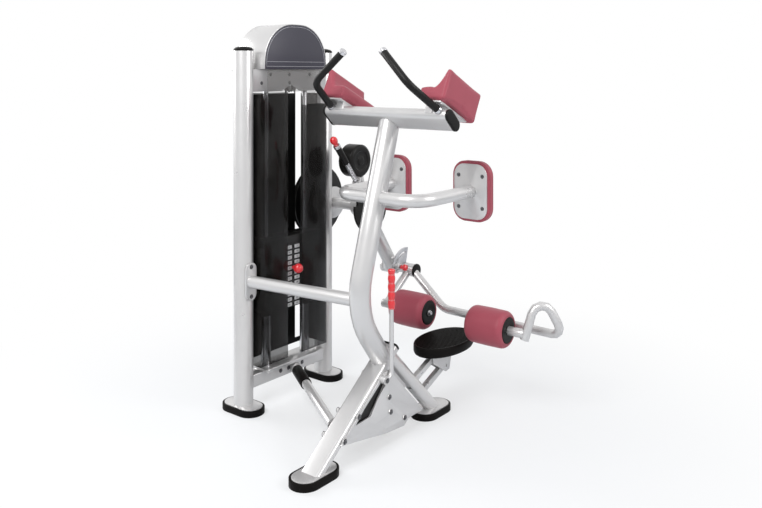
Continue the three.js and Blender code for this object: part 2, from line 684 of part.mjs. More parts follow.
// Swing arm: hub, main tube down to the knee, a post for the counterweight and a lug for the start pin
const indexMiddle = (index.start + index.end) / 2;
const counterCentre = around(pivot, counter.reach, counter.angle);

function swingArm() {
  const barrel = rodX(hub.diameter, hub.start, hub.end, pivot.y, pivot.z, housing.sides);
  const tube = rodBetween(point(swing.x, pivot.y, pivot.z), point(swing.x, knee.y, knee.z), swing.tube,
    swing.sides);
  const neck = rodBetween(point(swing.x, pivot.y, pivot.z), point(swing.x, counterCentre.y, counterCentre.z),
    counter.rod, swing.sides);
  const lugStart = around(pivot, startPin.lugNear, startPin.angle);
  const lugEnd = around(pivot, startPin.lugFar, startPin.angle);
  const lug = rodBetween(point(indexMiddle, lugStart.y, lugStart.z), point(indexMiddle, lugEnd.y, lugEnd.z),
    startPin.lug, swing.sides);
  const neckSpot = around(pivot, (startPin.lugNear + startPin.lugFar) / 2, counter.angle);
  const lugSpot = around(pivot, (startPin.lugNear + startPin.lugFar) / 2, startPin.angle);
  const bridge = rodBetween(point(swing.x, neckSpot.y, neckSpot.z), point(indexMiddle, lugSpot.y, lugSpot.z),
    startPin.lug - running * 4, swing.sides);
  const sectorPlate = sectorShape();
  const sectorArm = sectorBridge();
  const bore = rodX(shaft.diameter + 2 * turning, hub.start - overrun, hub.end + overrun, pivot.y, pivot.z,
    2 * shaft.sides);
  const pinBoreStart = around(pivot, startPin.lugNear - overrun, startPin.angle);
  const pinBoreEnd = around(pivot, startPin.lugFar + overrun, startPin.angle);
  const pinBore = rodBetween(point(indexMiddle, pinBoreStart.y, pinBoreStart.z),
    point(indexMiddle, pinBoreEnd.y, pinBoreEnd.z), startPin.rod + 2 * running, swing.sides);
  const weightRoom = rodX(2 * (counter.radius + seat), counter.start - overrun, counter.end + overrun,
    counterCentre.y, counterCentre.z, counter.sides);
  const kneeRoom = rodX(cross.core + 2 * turning, cross.start - overrun, cross.end + overrun, knee.y, knee.z,
    2 * cross.sides);
  const kneeBarrel = rodX(cross.diameter, swing.x - swing.tube / 2, swing.x + swing.tube / 2, knee.y, knee.z,
    cross.sides);
  const body = cut(join(barrel, tube, neck), weightRoom, discRoom());
  return cut(join(body, lug, bridge, kneeBarrel, sectorPlate, sectorArm), bore, pinBore, kneeRoom,
    weightRoom);
}

function discRoom() {
  return rodX(2 * (index.radius + running), index.start - running, index.end + overrun, pivot.y, pivot.z,
    cam.sides);
}

// The plate with an arc of holes that the lower pin drops into
function sectorShape() {
  const shape = new THREE.Shape();
  const steps = 8;
  const inner = cross.core / 2 + sector.clear;
  for (let i = 0; i <= steps; i += 1) {
    const angle = sector.from + (sector.to - sector.from) * i / steps;
    const edge = around(knee, sector.radius, angle);
    if (i === 0) shape.moveTo(edge.y, edge.z); else shape.lineTo(edge.y, edge.z);
  }
  for (let i = 0; i <= steps; i += 1) {
    const angle = sector.to - (sector.to - sector.from) * i / steps;
    const edge = around(knee, inner, angle);
    shape.lineTo(edge.y, edge.z);
  }
  shape.closePath();
  for (let i = 0; i < sector.holes; i += 1) {
    const hole = around(knee, sector.holeRadius, setPin.angle - i * sector.pitch);
    circleHole(shape, hole.y, hole.z, sector.hole, 10);
  }
  return cut(shapeX(shape, sector.x, sector.x + sector.thickness), sectorSlot());
}

// The narrow arc that joins the holes, for the pin's nose
function sectorSlot() {
  const slot = new THREE.Shape();
  const last = setPin.angle - (sector.holes - 1) * sector.pitch;
  const edge = (radius, backwards) => {
    for (let i = 0; i <= sector.slotSteps; i += 1) {
      const share = backwards ? 1 - i / sector.slotSteps : i / sector.slotSteps;
      const spot = around(knee, radius, last + (setPin.angle - last) * share);
      if (i === 0 && !backwards) slot.moveTo(spot.y, spot.z); else slot.lineTo(spot.y, spot.z);
    }
  };
  edge(sector.holeRadius - sector.slot / 2, false);
  edge(sector.holeRadius + sector.slot / 2, true);
  slot.closePath();
  return shapeX(slot, sector.x - overrun, sector.x + sector.thickness + overrun);
}

function sectorBridge() {
  const spot = around(knee, sector.bridgeRadius, sector.bridgeAngle);
  return rodX(sector.bridge, swing.x, sector.x + sector.thickness, spot.y, spot.z, cross.sides);
}
part('swing_arm', swingArm(), paint);

// Counterweight: a stacked disc with a bolt head at its middle
function counterweight() {
  const r = counter.radius;
  const half = (counter.end - counter.start) / 2;
  const profile = counter.profile.map(([out, along]) => new THREE.Vector2(r * out, half * along));
  const disc = new THREE.LatheGeometry(profile, counter.sides).rotateZ(-Math.PI / 2);
  return disc.translate((counter.start + counter.end) / 2, counterCentre.y, counterCentre.z);
}
part('counterweight', counterweight(), black);

// Start pin: a long pull rod with a knob, lying on a radius of the pivot
function startPinShape() {
  const at = (reach) => {
    const spot = around(pivot, reach, startPin.angle);
    return point(indexMiddle, spot.y, spot.z);
  };
  const tip = index.radius - index.notchDepth + running * 2;
  const core = rodBetween(at(tip), at(startPin.knobReach), startPin.rod, round.small);
  const sleeve = rodBetween(at(startPin.sleeveStart), at(startPin.sleeveEnd), startPin.sleeve, round.medium);
  const collar = rodBetween(at(startPin.collarStart), at(startPin.collarEnd), startPin.collar, round.medium);
  const knobEnd = at(startPin.knobReach);
  const knob = placed(new THREE.SphereGeometry(startPin.knob / 2, round.medium, round.tiny), knobEnd.x,
    knobEnd.y, knobEnd.z);
  return join(core, sleeve, collar, knob);
}
part('start_pin', startPinShape(), red);

// Roller carrier: knee shaft, short leg to the near roller and a long bent tube round the far one
const rollerInnerLeft = stand.x - roller.inner;
const rollerInnerRight = stand.x + roller.inner;
const rollerOuterLeft = rollerInnerLeft - roller.length;
const rollerOuterRight = rollerInnerRight + roller.length;
const behindY = rollerAxis.y + carrier.behind;
const behindZ = rollerAxis.z - carrier.below;
const shortLegX = swing.x + swing.tube / 2 + carrier.legOut;

function rollerCarrier() {
  const core = rodX(cross.core, cross.start, cross.end, knee.y, knee.z, cross.sides);
  const nearCap = rodX(cross.diameter, cross.start, swing.x - swing.tube / 2 - running, knee.y, knee.z,
    cross.sides);
  const farCap = rodX(cross.diameter, sector.x + sector.thickness + running, cross.end, knee.y, knee.z,
    cross.sides);
  const shortLeg = rodBetween(point(shortLegX, knee.y, knee.z), point(shortLegX, rollerAxis.y, rollerAxis.z),
    carrier.tube, carrier.sides);
  const stub = rodX(axle.stub, shortLegX - axle.stubLength / 2, rollerOuterLeft - axle.gap, rollerAxis.y,
    rollerAxis.z, carrier.sides);
  const nearAxle = rodX(axle.diameter, shortLegX, rollerInnerLeft + axle.gap * 2, rollerAxis.y,
    rollerAxis.z, axle.sides);
  const long = bentTube([
    point(cross.end - cross.core / 2, knee.y, knee.z),
    point(stand.x - roller.inner, behindY + carrier.easeY, behindZ + carrier.easeZ),
    point(loop.far, behindY, behindZ),
    point(loop.apexX, loop.apexY, loop.apexZ),
    point(loop.nearX, rollerAxis.y, rollerAxis.z - loop.drop)], loop.bends, carrier.tube, carrier.sides);
  const farAxle = rodX(axle.diameter, rollerInnerRight - axle.gap * 2, loop.nearX, rollerAxis.y,
    rollerAxis.z, axle.sides);
  const farStub = rodX(axle.stub, rollerOuterRight + axle.gap, loop.nearX, rollerAxis.y, rollerAxis.z,
    carrier.sides);
  return join(core, nearCap, farCap, shortLeg, stub, nearAxle, long, farAxle, farStub, pinHolder());
}

const setPinSpot = around(knee, sector.holeRadius, setPin.angle);
const pinFace = sector.x + sector.thickness + running;

function pinHolder() {
  const lug = rodBetween(point(pinFace + setPin.sleeveLength / 2, knee.y, knee.z),
    point(pinFace + setPin.sleeveLength / 2, setPinSpot.y, setPinSpot.z), setPin.sleeveLength, round.tiny);
  const sleeve = rodX(setPin.holder, pinFace, pinFace + setPin.sleeveLength, setPinSpot.y, setPinSpot.z,
    round.medium);
  const bore = rodX(setPin.rod + 2 * running, pinFace - overrun, pinFace + setPin.sleeveLength + overrun,
    setPinSpot.y, setPinSpot.z, round.medium);
  return cut(join(lug, sleeve), bore);
}
part('roller_carrier', rollerCarrier(), paint);

const knobFace = pinFace + setPin.sleeveLength + seat;
part('set_pin', join(
  rodX(setPin.nose, sector.x - setPin.travel / 3, knobFace, setPinSpot.y, setPinSpot.z, round.small),
  rodX(setPin.rod, pinFace, knobFace + setPin.knobLength / 2, setPinSpot.y, setPinSpot.z, round.small),
  rodX(setPin.sleeve, knobFace, knobFace + setPin.knobLength / 3, setPinSpot.y, setPinSpot.z, round.medium),
  rodX(setPin.knob, knobFace + setPin.knobLength / 3, knobFace + setPin.knobLength, setPinSpot.y,
  setPinSpot.z, round.medium)),
  red);

// Roller pads: fat rounded cylinders with a dished end on the side that shows
function rollerPad(dishSide) {
  const half = roller.length / 2;
  const r = roller.radius;
  const bore = axle.diameter / 2 + seat;
  const arc = [];
  for (let i = 0; i <= roller.roundSteps; i += 1) {
    const angle = Math.PI / 2 * i / roller.roundSteps;
    arc.push(new THREE.Vector2(r - roller.round + roller.round * Math.sin(angle),
      -half + roller.round - roller.round * Math.cos(angle)));
  }
  const mirrored = arc.map((p) => new THREE.Vector2(p.x, -p.y)).reverse();
  const profile = [
    new THREE.Vector2(bore, -half + roller.dish), new THREE.Vector2(roller.face - roller.dish,
      -half + roller.dish),
    new THREE.Vector2(roller.face - roller.dish, -half), ...arc, new THREE.Vector2(r + roller.crown, 0),
      ...mirrored,
    new THREE.Vector2(roller.face - roller.dish, half), new THREE.Vector2(roller.face - roller.dish,
      half - roller.dish),
    new THREE.Vector2(bore, half - roller.dish), new THREE.Vector2(bore, -half + roller.dish)];
  return new THREE.LatheGeometry(profile, roller.sides).rotateZ(dishSide * -Math.PI / 2);
}
part('roller_left', rollerPad(1), hide).position.set(
  (rollerInnerLeft + rollerOuterLeft) / 2, rollerAxis.y, rollerAxis.z);
part('roller_right', rollerPad(1), hide).position.set(
  (rollerInnerRight + rollerOuterRight) / 2, rollerAxis.y, rollerAxis.z);

// Front leg of the stand: a flat tube lying on its slope
const slope = radians(frontLeg.angle);
const legAlong = { y: Math.cos(slope), z: Math.sin(slope) };

function frontLegShape(grow = 0, longer = 0) {
  const shape = roundedRectangle(frontLeg.width + 2 * grow, frontLeg.depth + 2 * grow, frontLeg.edge);
  const geometry = new THREE.ExtrudeGeometry(shape,
    { depth: frontLeg.length + 2 * longer, bevelEnabled: false, curveSegments: 3 });
  geometry.applyMatrix4(new THREE.Matrix4().makeBasis(
    point(1, 0, 0), point(0, legAlong.z, -legAlong.y), point(0, legAlong.y, legAlong.z)).setPosition(
    stand.x, frontLeg.topY + legAlong.z * frontLeg.depth / 2 - legAlong.y * longer,
    frontLeg.topZ - legAlong.y * frontLeg.depth / 2 - legAlong.z * longer));
  return geometry;
}

function belowFoot(y) {
  return block(stand.x - foot.length, stand.x + foot.length, y - foot.length * 2, y + foot.length * 2,
    -foot.length, plateBottom + foot.plate / 2);
}

function standFootPlate(y) {
  const turned = footPlate().rotateZ(Math.PI / 2);
  return turned.translate(stand.x, y, 0);
}

part('front_leg', join(cut(frontLegShape(), belowFoot(frontFoot.y)), standFootPlate(frontFoot.y)), paint);

// Plastic cap on the upper end of the front leg
const legEnd = { y: frontLeg.topY + legAlong.y * frontLeg.length,
  z: frontLeg.topZ + legAlong.z * frontLeg.length };

function legCap() {
  const whole = frontLegShape(0, frontLeg.cap + seat);
  const keep = block(-frontLeg.width, frontLeg.width, 0, frontLeg.cap, -frontLeg.depth * 2,
    frontLeg.depth * 2);
  keep.rotateX(slope).translate(stand.x, legEnd.y + legAlong.y * seat, legEnd.z + legAlong.z * seat);
  return overlapOf(whole, keep);
}
part('front_leg_cap', legCap(), black);

// Rear leg: a round tube at its slope, slotted for the two platform links
const lean = radians(rearLeg.angle);
const rearLegTop = { y: rearFoot.y - rearLeg.length * Math.cos(lean),
  z: plateTop + rearLeg.length * Math.sin(lean) };
const linkPivots = [
  { y: link.y, z: link.z },
  { y: link.y + link.offsetY, z: link.z + link.offsetZ },
];

function rearLegShape() {
  const tube = rodBetween(point(stand.x, rearLegTop.y, rearLegTop.z),
    point(stand.x, rearFoot.y + rearLeg.diameter / 2 * Math.cos(lean),
      plateTop - rearLeg.diameter / 2 * Math.sin(lean)),
    rearLeg.diameter, rearLeg.sides);
  const slots = linkPivots.map((spot) => {
    const reach = rearLeg.diameter;
    const back = link.side * 0.85;
    return slabX([
      [spot.y - back, spot.z - back * 0.7], [spot.y + reach, spot.z - back], [spot.y + reach, spot.z + reach],
      [spot.y - back * 0.4, spot.z + back * 1.2]],
      stand.x - rearLeg.slotWidth / 2, stand.x + rearLeg.slotWidth / 2);
  });
  const web = slabX(rearLeg.web, stand.x - rearLeg.webThickness / 2, stand.x + rearLeg.webThickness / 2);
  const spacers = gussetBolts.slice(0, spacerCount).map(([y, z]) => rodX(rearLeg.spacer,
    stand.x - frontLeg.width / 2, stand.x + frontLeg.width / 2, y, z, rearLeg.sides));
  const trimmed = cut(join(tube, web, ...spacers), belowFoot(rearFoot.y), frontLegShape(seat,
    frontLeg.length));
  const pins = linkPivots.map((spot) => rodX(link.pin, stand.x - rearLeg.slotWidth / 2 - running,
    stand.x + rearLeg.slotWidth / 2 + running, spot.y, spot.z, link.pinSides));
  return join(cut(trimmed, ...slots), standFootPlate(rearFoot.y), ...pins);
}
part('rear_leg', rearLegShape(), paint);

// Post: bent tube coped onto the front leg below and the bar above
function barShape(grow = 0, longer = 0) {
  const shape = racetrack(bar.long + 2 * grow, bar.short + 2 * grow);
  const tilt = radians(bar.tilt);
  const geometry = new THREE.ExtrudeGeometry(shape,
    { depth: bar.length + 2 * longer, bevelEnabled: false, curveSegments: 6 });
  geometry.applyMatrix4(new THREE.Matrix4().makeBasis(
    point(0, Math.cos(tilt), -Math.sin(tilt)), point(0, Math.sin(tilt), Math.cos(tilt)), point(1, 0,
      0)).setPosition(
    stand.x - bar.length / 2 - longer, bar.y, bar.z));
  return geometry;
}

function postTube(grow) {
  const corners = [point(stand.x, post.rootY, post.rootZ), point(stand.x, post.kneeY, post.kneeZ),
    point(stand.x, post.topY, post.topZ)];
  return bentTube(corners, post.bend, post.diameter + 2 * grow, post.sides, post.bendSteps);
}

function postShape() {
  const tube = postTube(0);
  const holeForBow = rodX(bow.diameter + 2 * seat, stand.x - post.diameter, stand.x + post.diameter, bow.y,
    bow.z,
    bow.sides);
  return cut(tube, frontLegShape(seat, frontLeg.length), barShape(seat, overrun), holeForBow);
}
part('post', postShape(), paint);

// Gusset plates bolted to both sides of the two legs
function gussetPlate(way) {
  const inner = stand.x + way * (frontLeg.width / 2 + seat);
  const outer = inner + way * gusset.thickness;
  const low = Math.min(inner, outer);
  const high = Math.max(inner, outer);
  const sheet = slabX(gusset.outline, low, high);
  const window = slabX(gusset.window, low - overrun, high + overrun);
  const heads = gussetBolts.map(([y, z]) => rodX(gussetBolt.diameter,
    Math.min(outer - way * gusset.thickness / 2, outer + way * gussetBolt.height),
    Math.max(outer - way * gusset.thickness / 2, outer + way * gussetBolt.height), y, z, gussetBolt.sides));
  const ear = rodX(lever.bossDiameter, low, high, lever.pivotY, lever.pivotZ, lever.sides);
  return join(cut(join(sheet, ear), window), ...heads);
}

// The pin that the platform lever turns on, with a broad head
function leverPin() {
  const face = stand.x + frontLeg.width / 2 + seat;
  const bossEnd = lever.x + lever.bossLength / 2;
  return join(
    rodX(lever.pivotPin, face + gusset.thickness / 2, bossEnd + running * 2, lever.pivotY, lever.pivotZ,
      lever.sides),
    rodX(lever.pivotPin + overrun / 2, bossEnd + running, bossEnd + running * 3, lever.pivotY, lever.pivotZ,
      lever.sides));
}
part('gusset_left', gussetPlate(-1), paint);
part('gusset_right', join(gussetPlate(1), leverPin()), paint);

// Tie bar from the tower to the post
function tieBar() {
  const start = uprightFace;
  const flange = shapeX(racetrack(tie.flangeHeight, tie.flangeWidth), start, start + tie.flange, foot.steps)
    .rotateX(Math.PI / 2).translate(0, 0, tie.startZ);
  const tube = rodBetween(point(start + tie.flange / 2, 0, tie.startZ), point(stand.x, tie.endY, tie.endZ),
    tie.diameter, tie.sides);
  const postRoom = postTube(seat);
  const beyond = block(stand.x, stand.x + foot.length, tie.endY - foot.length, tie.endY + foot.length,
    tie.endZ - foot.length, tie.endZ + foot.length);
  return join(flange, cut(tube, postRoom, beyond));
}
part('tie_bar', tieBar(), paint);

// Floor strut from the tower's low beam to the front leg, with a black sleeve at the tower end
const strutStart = point(strut.startX + beam.width / 2, strut.startY, strut.startZ);
const strutEnd = point(stand.x - frontLeg.width / 2, strut.endY, strut.endZ);

function floorStrut() {
  const along = new THREE.Vector3().subVectors(strutEnd, strutStart);
  const socketEnd = strutStart.clone().addScaledVector(along.clone().normalize(), strut.socketLength);
  const beamRoom = block(-beam.width / 2 - seat, beam.width / 2 + seat, 0, upright.spacing,
    beam.bottom - overrun * 2, beamTop + seat);
  const far = strutEnd.clone().addScaledVector(along.clone().normalize(), strut.diameter);
  const near = strutStart.clone().addScaledVector(along.clone().normalize(), -strut.diameter);
  const tube = rodBetween(strutStart, far, strut.diameter, strut.sides);
  const socket = rodBetween(near, socketEnd, strut.sleeve, strut.sides);
  const gussetRoom = block(stand.x - frontLeg.width / 2 - 2 * seat - gusset.thickness, stand.x + foot.length,
    -foot.length, foot.length, 0, foot.length * 2);
  return cut(join(tube, socket), beamRoom, frontLegShape(seat, overrun), gussetRoom);
}
part('floor_strut', floorStrut(), paint);

// Rubber sleeve over the strut, just beyond its socket
function strutSleeve() {
  const along = new THREE.Vector3().subVectors(strutEnd, strutStart).normalize();
  const at = (reach) => strutStart.clone().addScaledVector(along, reach);
  const start = strut.socketLength + seat;
  return cut(rodBetween(at(start), at(start + strut.sleeveLength), strut.sleeve, strut.sides),
    rodBetween(at(start - overrun), at(start + strut.sleeveLength + overrun), strut.diameter + 2 * seat,
      strut.sides));
}
part('strut_sleeve', strutSleeve(), rubber);

// Top bar with the plates that carry the elbow pads and the stubs for the grips
const padSlope = radians(pad.slope);
const padAlong = { y: Math.cos(padSlope), z: -Math.sin(padSlope) };
const padUp = { y: Math.sin(padSlope), z: Math.cos(padSlope) };

// Local pad axes: first across the machine, second along the slope, third square to it
function onSlope(geometry, originX) {
  const basis = new THREE.Matrix4().makeBasis(
    point(1, 0, 0), point(0, padAlong.y, padAlong.z), point(0, padUp.y, padUp.z));
  basis.setPosition(originX, pad.front, pad.z);
  return geometry.clone().applyMatrix4(basis);
}

function padOrigin(way) {
  return stand.x + way * (pad.reach - pad.width);
}

// The plate under an elbow pad and the web that carries it on the bar
function elbowPlate(way) {
  const span = (near, far) => [Math.min(way * near, way * far), Math.max(way * near, way * far)];
  const sheetSpan = span(pad.plateInset, pad.width - pad.plateInset);
  const webSpan = span(pad.plateInset, pad.plateInset + pad.web);
  const sheet = block(...sheetSpan, pad.plateInset, pad.length - pad.plateInset * 2,
    -pad.plateGap - pad.plate,
    -pad.plateGap);
  const web = block(...webSpan, pad.webNear, pad.webFar, -pad.webDepth, -pad.plateGap - pad.plate / 2);
  return onSlope(join(sheet, web), padOrigin(way));
}

function gripCorners(way) {
  return [point(stand.x + way * grip.baseX, grip.baseY, grip.baseZ),
    point(stand.x + way * grip.bendX, grip.bendY, grip.bendZ),
    point(stand.x + way * grip.topX, grip.topY, grip.topZ)];
}

function gripStub(way) {
  const [base, corner] = gripCorners(way);
  const along = new THREE.Vector3().subVectors(corner, base).normalize();
  return rodBetween(base.clone().addScaledVector(along, -grip.stub), base.clone().addScaledVector(along,
    grip.end / 2),
    grip.tube, grip.sides);
}
part('top_bar', join(barShape(), elbowPlate(1), elbowPlate(-1), gripStub(1), gripStub(-1)), paint);

// Hand grips: bent sleeves with a small metal end
function handGrip(way) {
  const corners = gripCorners(way);
  const along = new THREE.Vector3().subVectors(corners[1], corners[0]).normalize();
  const start = corners[0].clone().addScaledVector(along, grip.end / 2 + seat);
  const sleeve = bentTube([start, corners[1], corners[2]], grip.bend, grip.diameter, grip.sides, grip.steps);
  const out = new THREE.Vector3().subVectors(corners[2], corners[1]).normalize();
  const cap = rodBetween(corners[2].clone().addScaledVector(out, -grip.endLength),
    corners[2].clone().addScaledVector(out, grip.endLength), grip.end, grip.sides);
  return join(sleeve, cap);
}
part('hand_grip_left', handGrip(-1), black);
part('hand_grip_right', handGrip(1), black);

// Elbow pads: a sloping rest with a tall side fin, all edges eased and both ends drawn in
function elbowOutline(inset) {
  const shape = new THREE.Shape();
  const w = pad.width - inset;
  const r = pad.round;
  const fin = pad.fin - inset;
  const base = pad.base - inset;
  const finTop = pad.width - pad.finTop + inset;
  const finRoot = pad.width - pad.finRoot + inset / 2;
  shape.moveTo(inset + r, inset);
  shape.lineTo(w - r, inset);
  shape.quadraticCurveTo(w, inset, w, inset + r);
  shape.lineTo(w, fin - r);
  shape.quadraticCurveTo(w, fin, (w + finTop) / 2, fin);
  shape.quadraticCurveTo(finTop, fin, finTop, fin - r);
  shape.quadraticCurveTo(finRoot, base + r, finRoot - r * 2, base);
  shape.quadraticCurveTo((inset + finRoot) / 2, base + pad.crown, inset + r, base);
  shape.quadraticCurveTo(inset, base, inset, base - r);
  shape.lineTo(inset, inset + r);
  shape.quadraticCurveTo(inset, inset, inset + r, inset);
  return outlinePoints(shape, pad.steps);
}

// A closed body through rings that hold the same number of points, each ring at its own place along Y
function loft(rings) {
  const size = rings[0].outline.length;
  const positions = [];
  for (const ring of rings) {
    for (const p of ring.outline) positions.push(p.x, ring.y, p.y);
  }
  const faces = [];
  for (let r = 0; r < rings.length - 1; r += 1) {
    for (let i = 0; i < size; i += 1) {
      const j = (i + 1) % size;
      const a = r * size + i;
      const b = r * size + j;
      const c = a + size;
      const d = b + size;
      faces.push(a, c, b, b, c, d);
    }
  }
  const caps = THREE.ShapeUtils.triangulateShape(rings[0].outline, []);
  const top = (rings.length - 1) * size;
  for (const [a, b, c] of caps) {
    faces.push(a, b, c);
    faces.push(top + a, top + c, top + b);
  }
  const geometry = new THREE.BufferGeometry();
  geometry.setAttribute('position', new THREE.Float32BufferAttribute(positions, 3));
  geometry.setIndex(faces);
  geometry.computeVertexNormals();
  return geometry;
}

// A copy turned left for right, with its faces put back in order
function mirrored(geometry) {
  const copy = geometry.clone().scale(-1, 1, 1);
  const order = copy.index;
  for (let i = 0; i < order.count; i += 3) {
    const kept = order.getX(i);
    order.setX(i, order.getX(i + 2));
    order.setX(i + 2, kept);
  }
  copy.computeVertexNormals();
  return copy;
}

function elbowPad() {
  const ease = [0, 1 / 3, 1];
  const drawn = [1, 1 / 3, 0];
  const near = ease.map((share, i) => ({ y: share * pad.round, outline: elbowOutline(drawn[i] * pad.draw) }));
  const far = near.map((ring) => ({ y: pad.length - ring.y, outline: ring.outline })).reverse();
  return loft([...near, ...far]);
}

const padShape = elbowPad();
part('elbow_pad_right', onSlope(padShape, padOrigin(1)), hide);
part('elbow_pad_left', onSlope(mirrored(padShape), padOrigin(-1)), hide);

// Bow that carries the two back pads on upright plates
function padBow() {
  const left = stand.x - bow.half;
  const right = stand.x + bow.half;
  const tube = bentTube([point(left, bow.plateY, bow.z), point(left, bow.y, bow.z), point(right, bow.y,
    bow.z),
    point(right, bow.plateY, bow.z)], bow.bend, bow.diameter, bow.sides, 5);
  const sheets = [left, right].map((x) => {
    const geometry = new THREE.ExtrudeGeometry(roundedRectangle(backPad.width - 2 * backPad.plateInset,
      backPad.height - 2 * backPad.plateInset, backPad.corner - backPad.plateInset),
      { depth: backPad.plate, bevelEnabled: false, curveSegments: backPad.steps });
    return geometry.rotateX(Math.PI / 2).translate(x, bow.plateY + backPad.plate - seat, bow.z);
  });
  return join(tube, ...sheets);
}
part('pad_bow', padBow(), paint);

// Back pads: rounded cushions crowned on the side that the user leans on
function backCushion() {
  const rings = backPad.rings.map(([share, inset]) => ({ depth: backPad.depth * share, inset }));
  const positions = [];
  for (const ring of rings) {
    const shape = roundedRectangle(backPad.width - 2 * ring.inset, backPad.height - 2 * ring.inset,
      Math.max(backPad.corner - ring.inset, backPad.crown));
    for (const p of outlinePoints(shape, backPad.steps)) positions.push(p.x, ring.depth, p.y);
  }
  const ringSize = positions.length / 3 / rings.length;
  const faces = [];
  for (let r = 0; r < rings.length - 1; r += 1) {
    for (let i = 0; i < ringSize; i += 1) {
      const j = (i + 1) % ringSize;
      const a = r * ringSize + i;
      const b = r * ringSize + j;
      const c = (r + 1) * ringSize + i;
      const d = (r + 1) * ringSize + j;
      faces.push(a, c, b, b, c, d);
    }
  }
  const backMiddle = positions.length / 3;
  positions.push(0, 0, 0);
  positions.push(0, backPad.depth + backPad.crown / 4, 0);
  const top = (rings.length - 1) * ringSize;
  for (let i = 0; i < ringSize; i += 1) {
    const j = (i + 1) % ringSize;
    faces.push(backMiddle, i, j);
    faces.push(backMiddle + 1, top + j, top + i);
  }
  const geometry = new THREE.BufferGeometry();
  geometry.setAttribute('position', new THREE.Float32BufferAttribute(positions, 3));
  geometry.setIndex(faces);
  geometry.computeVertexNormals();
  return geometry;
}
const cushion = backCushion();
const cushionY = bow.plateY + backPad.plate;
part('back_pad_left', cushion, hide).position.set(stand.x - bow.half, cushionY, bow.z);
part('back_pad_right', cushion, hide).position.set(stand.x + bow.half, cushionY, bow.z);

// Platform lever beside the gusset
function leverShape() {
  const rodTube = bentTube([point(lever.x, lever.pivotY, lever.pivotZ), point(lever.x, lever.rodY,
    lever.elbowZ),
    point(lever.x, lever.rodY, lever.top)], lever.bend, lever.rod, lever.sides);
  const sleeve = rodBetween(point(lever.x, lever.rodY, lever.top - lever.gripLength),
    point(lever.x, lever.rodY, lever.top), lever.grip, lever.sides);
  const boss = rodX(lever.bossDiameter, lever.x - lever.bossLength / 2, lever.x + lever.bossLength / 2,
    lever.pivotY,
    lever.pivotZ, lever.sides);
  const bore = rodX(lever.pivotPin + 2 * running, lever.x - lever.bossLength, lever.x + lever.bossLength,
    lever.pivotY, lever.pivotZ, lever.sides);
  return cut(join(rodTube, sleeve, boss), bore);
}
part('platform_lever', leverShape(), paint);

// Platform links, turning in the rear leg's slots
function linkShape() {
  const end = link.length;
  const tube = new THREE.BoxGeometry(link.tube, end, link.side);
  tube.translate(0, end / 2, 0);
  const ends = [0, end].map((y) => rodX(link.side, -link.tube / 2, link.tube / 2, y, 0, round.medium));
  const bores = [0, end].map((y) => rodX(link.pin + 2 * turning, -link.tube, link.tube, y, 0,
    2 * link.pinSides));
  return cut(join(tube, ...ends), ...bores);
}
const linkGeometry = linkShape();
for (const [i, name] of ['link_upper', 'link_lower'].entries()) {
  const mesh = part(name, linkGeometry, paint);
  mesh.position.set(stand.x, linkPivots[i].y, linkPivots[i].z);
  mesh.rotation.x = radians(link.angle);
}

// Platform: an oval tread with ribs across, on a bracket with a pin for each link
function ellipse(half, halfWidth, steps) {
  const points = [];
  for (let i = 0; i < steps; i += 1) {
    const angle = 2 * Math.PI * i / steps;
    points.push(new THREE.Vector2(halfWidth * Math.cos(angle), half * Math.sin(angle)));
  }
  return new THREE.Shape(points);
}

function treadShape() {
  const base = new THREE.ExtrudeGeometry(ellipse(platform.half, platform.halfWidth, platform.steps),
    { depth: platform.rim, bevelEnabled: false });
  const pocket = new THREE.ExtrudeGeometry(
    ellipse(platform.half - platform.lip, platform.halfWidth - platform.lip, platform.steps),
    { depth: platform.ribDepth + overrun, bevelEnabled: false }).translate(0, 0,
      platform.rim - platform.ribDepth);
  return cut(base, pocket);
}
part('platform_tread', treadShape(), rubber).position.set(stand.x, platform.y, platform.top - platform.rim);

function platformBracket() {
  const ends = linkPivots.map((spot) => ({
    y: spot.y + link.length * Math.cos(radians(link.angle)),
    z: spot.z + link.length * Math.sin(radians(link.angle)),
  }));
  const under = platform.top - platform.rim - seat;
  const [near, low, back, rise] = link.cheek;
  const outline = [
    [ends[0].y - link.side, under], [ends[0].y - link.side * near, ends[0].z - link.side * low],
    [ends[1].y - link.side * back, ends[1].z - link.side], [ends[1].y + link.side,
      ends[1].z - link.side * rise],
    [ends[1].y + link.side * 2, under]];
  const gapHalf = link.tube / 2 + running;
  const cheeks = [-1, 1].map((way) => slabX(outline, stand.x + Math.min(way * gapHalf,
    way * (gapHalf + platform.bracket)),
    stand.x + Math.max(way * gapHalf, way * (gapHalf + platform.bracket))));
  const head = block(stand.x - gapHalf * 2, stand.x + gapHalf * 2, ends[0].y - link.side,
    ends[1].y + link.side * 2,
    under - platform.bracket, under);
  const pins = ends.map((spot) => rodX(link.pin, stand.x - gapHalf - platform.bracket - gussetBolt.height,
    stand.x + gapHalf + platform.bracket + gussetBolt.height, spot.y, spot.z, link.pinSides));
  return join(...cheeks, head, ...pins);
}
part('platform_bracket', platformBracket(), paint);

// Stand the machine over the origin
const box = new THREE.Box3().setFromObject(machine);
machine.position.set(-(box.min.x + box.max.x) / 2, -(box.min.y + box.max.y) / 2, 0);
machine.updateMatrixWorld(true);

export default machine;
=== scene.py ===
# %% [markdown]
# This scene dresses a weight-stack machine for the stomach muscles. The solids come in as a fixed
# frame, already in metres and in place. Each cell then gives one kind of piece its surface: painted
# tube, upholstery, rubber, chrome, or the small fasteners that hold the machine together.

# %% Load the frame
import json
import math
import bmesh
import bpy
import numpy as np
from mathutils import Matrix, Vector
from mathutils.bvhtree import BVHTree


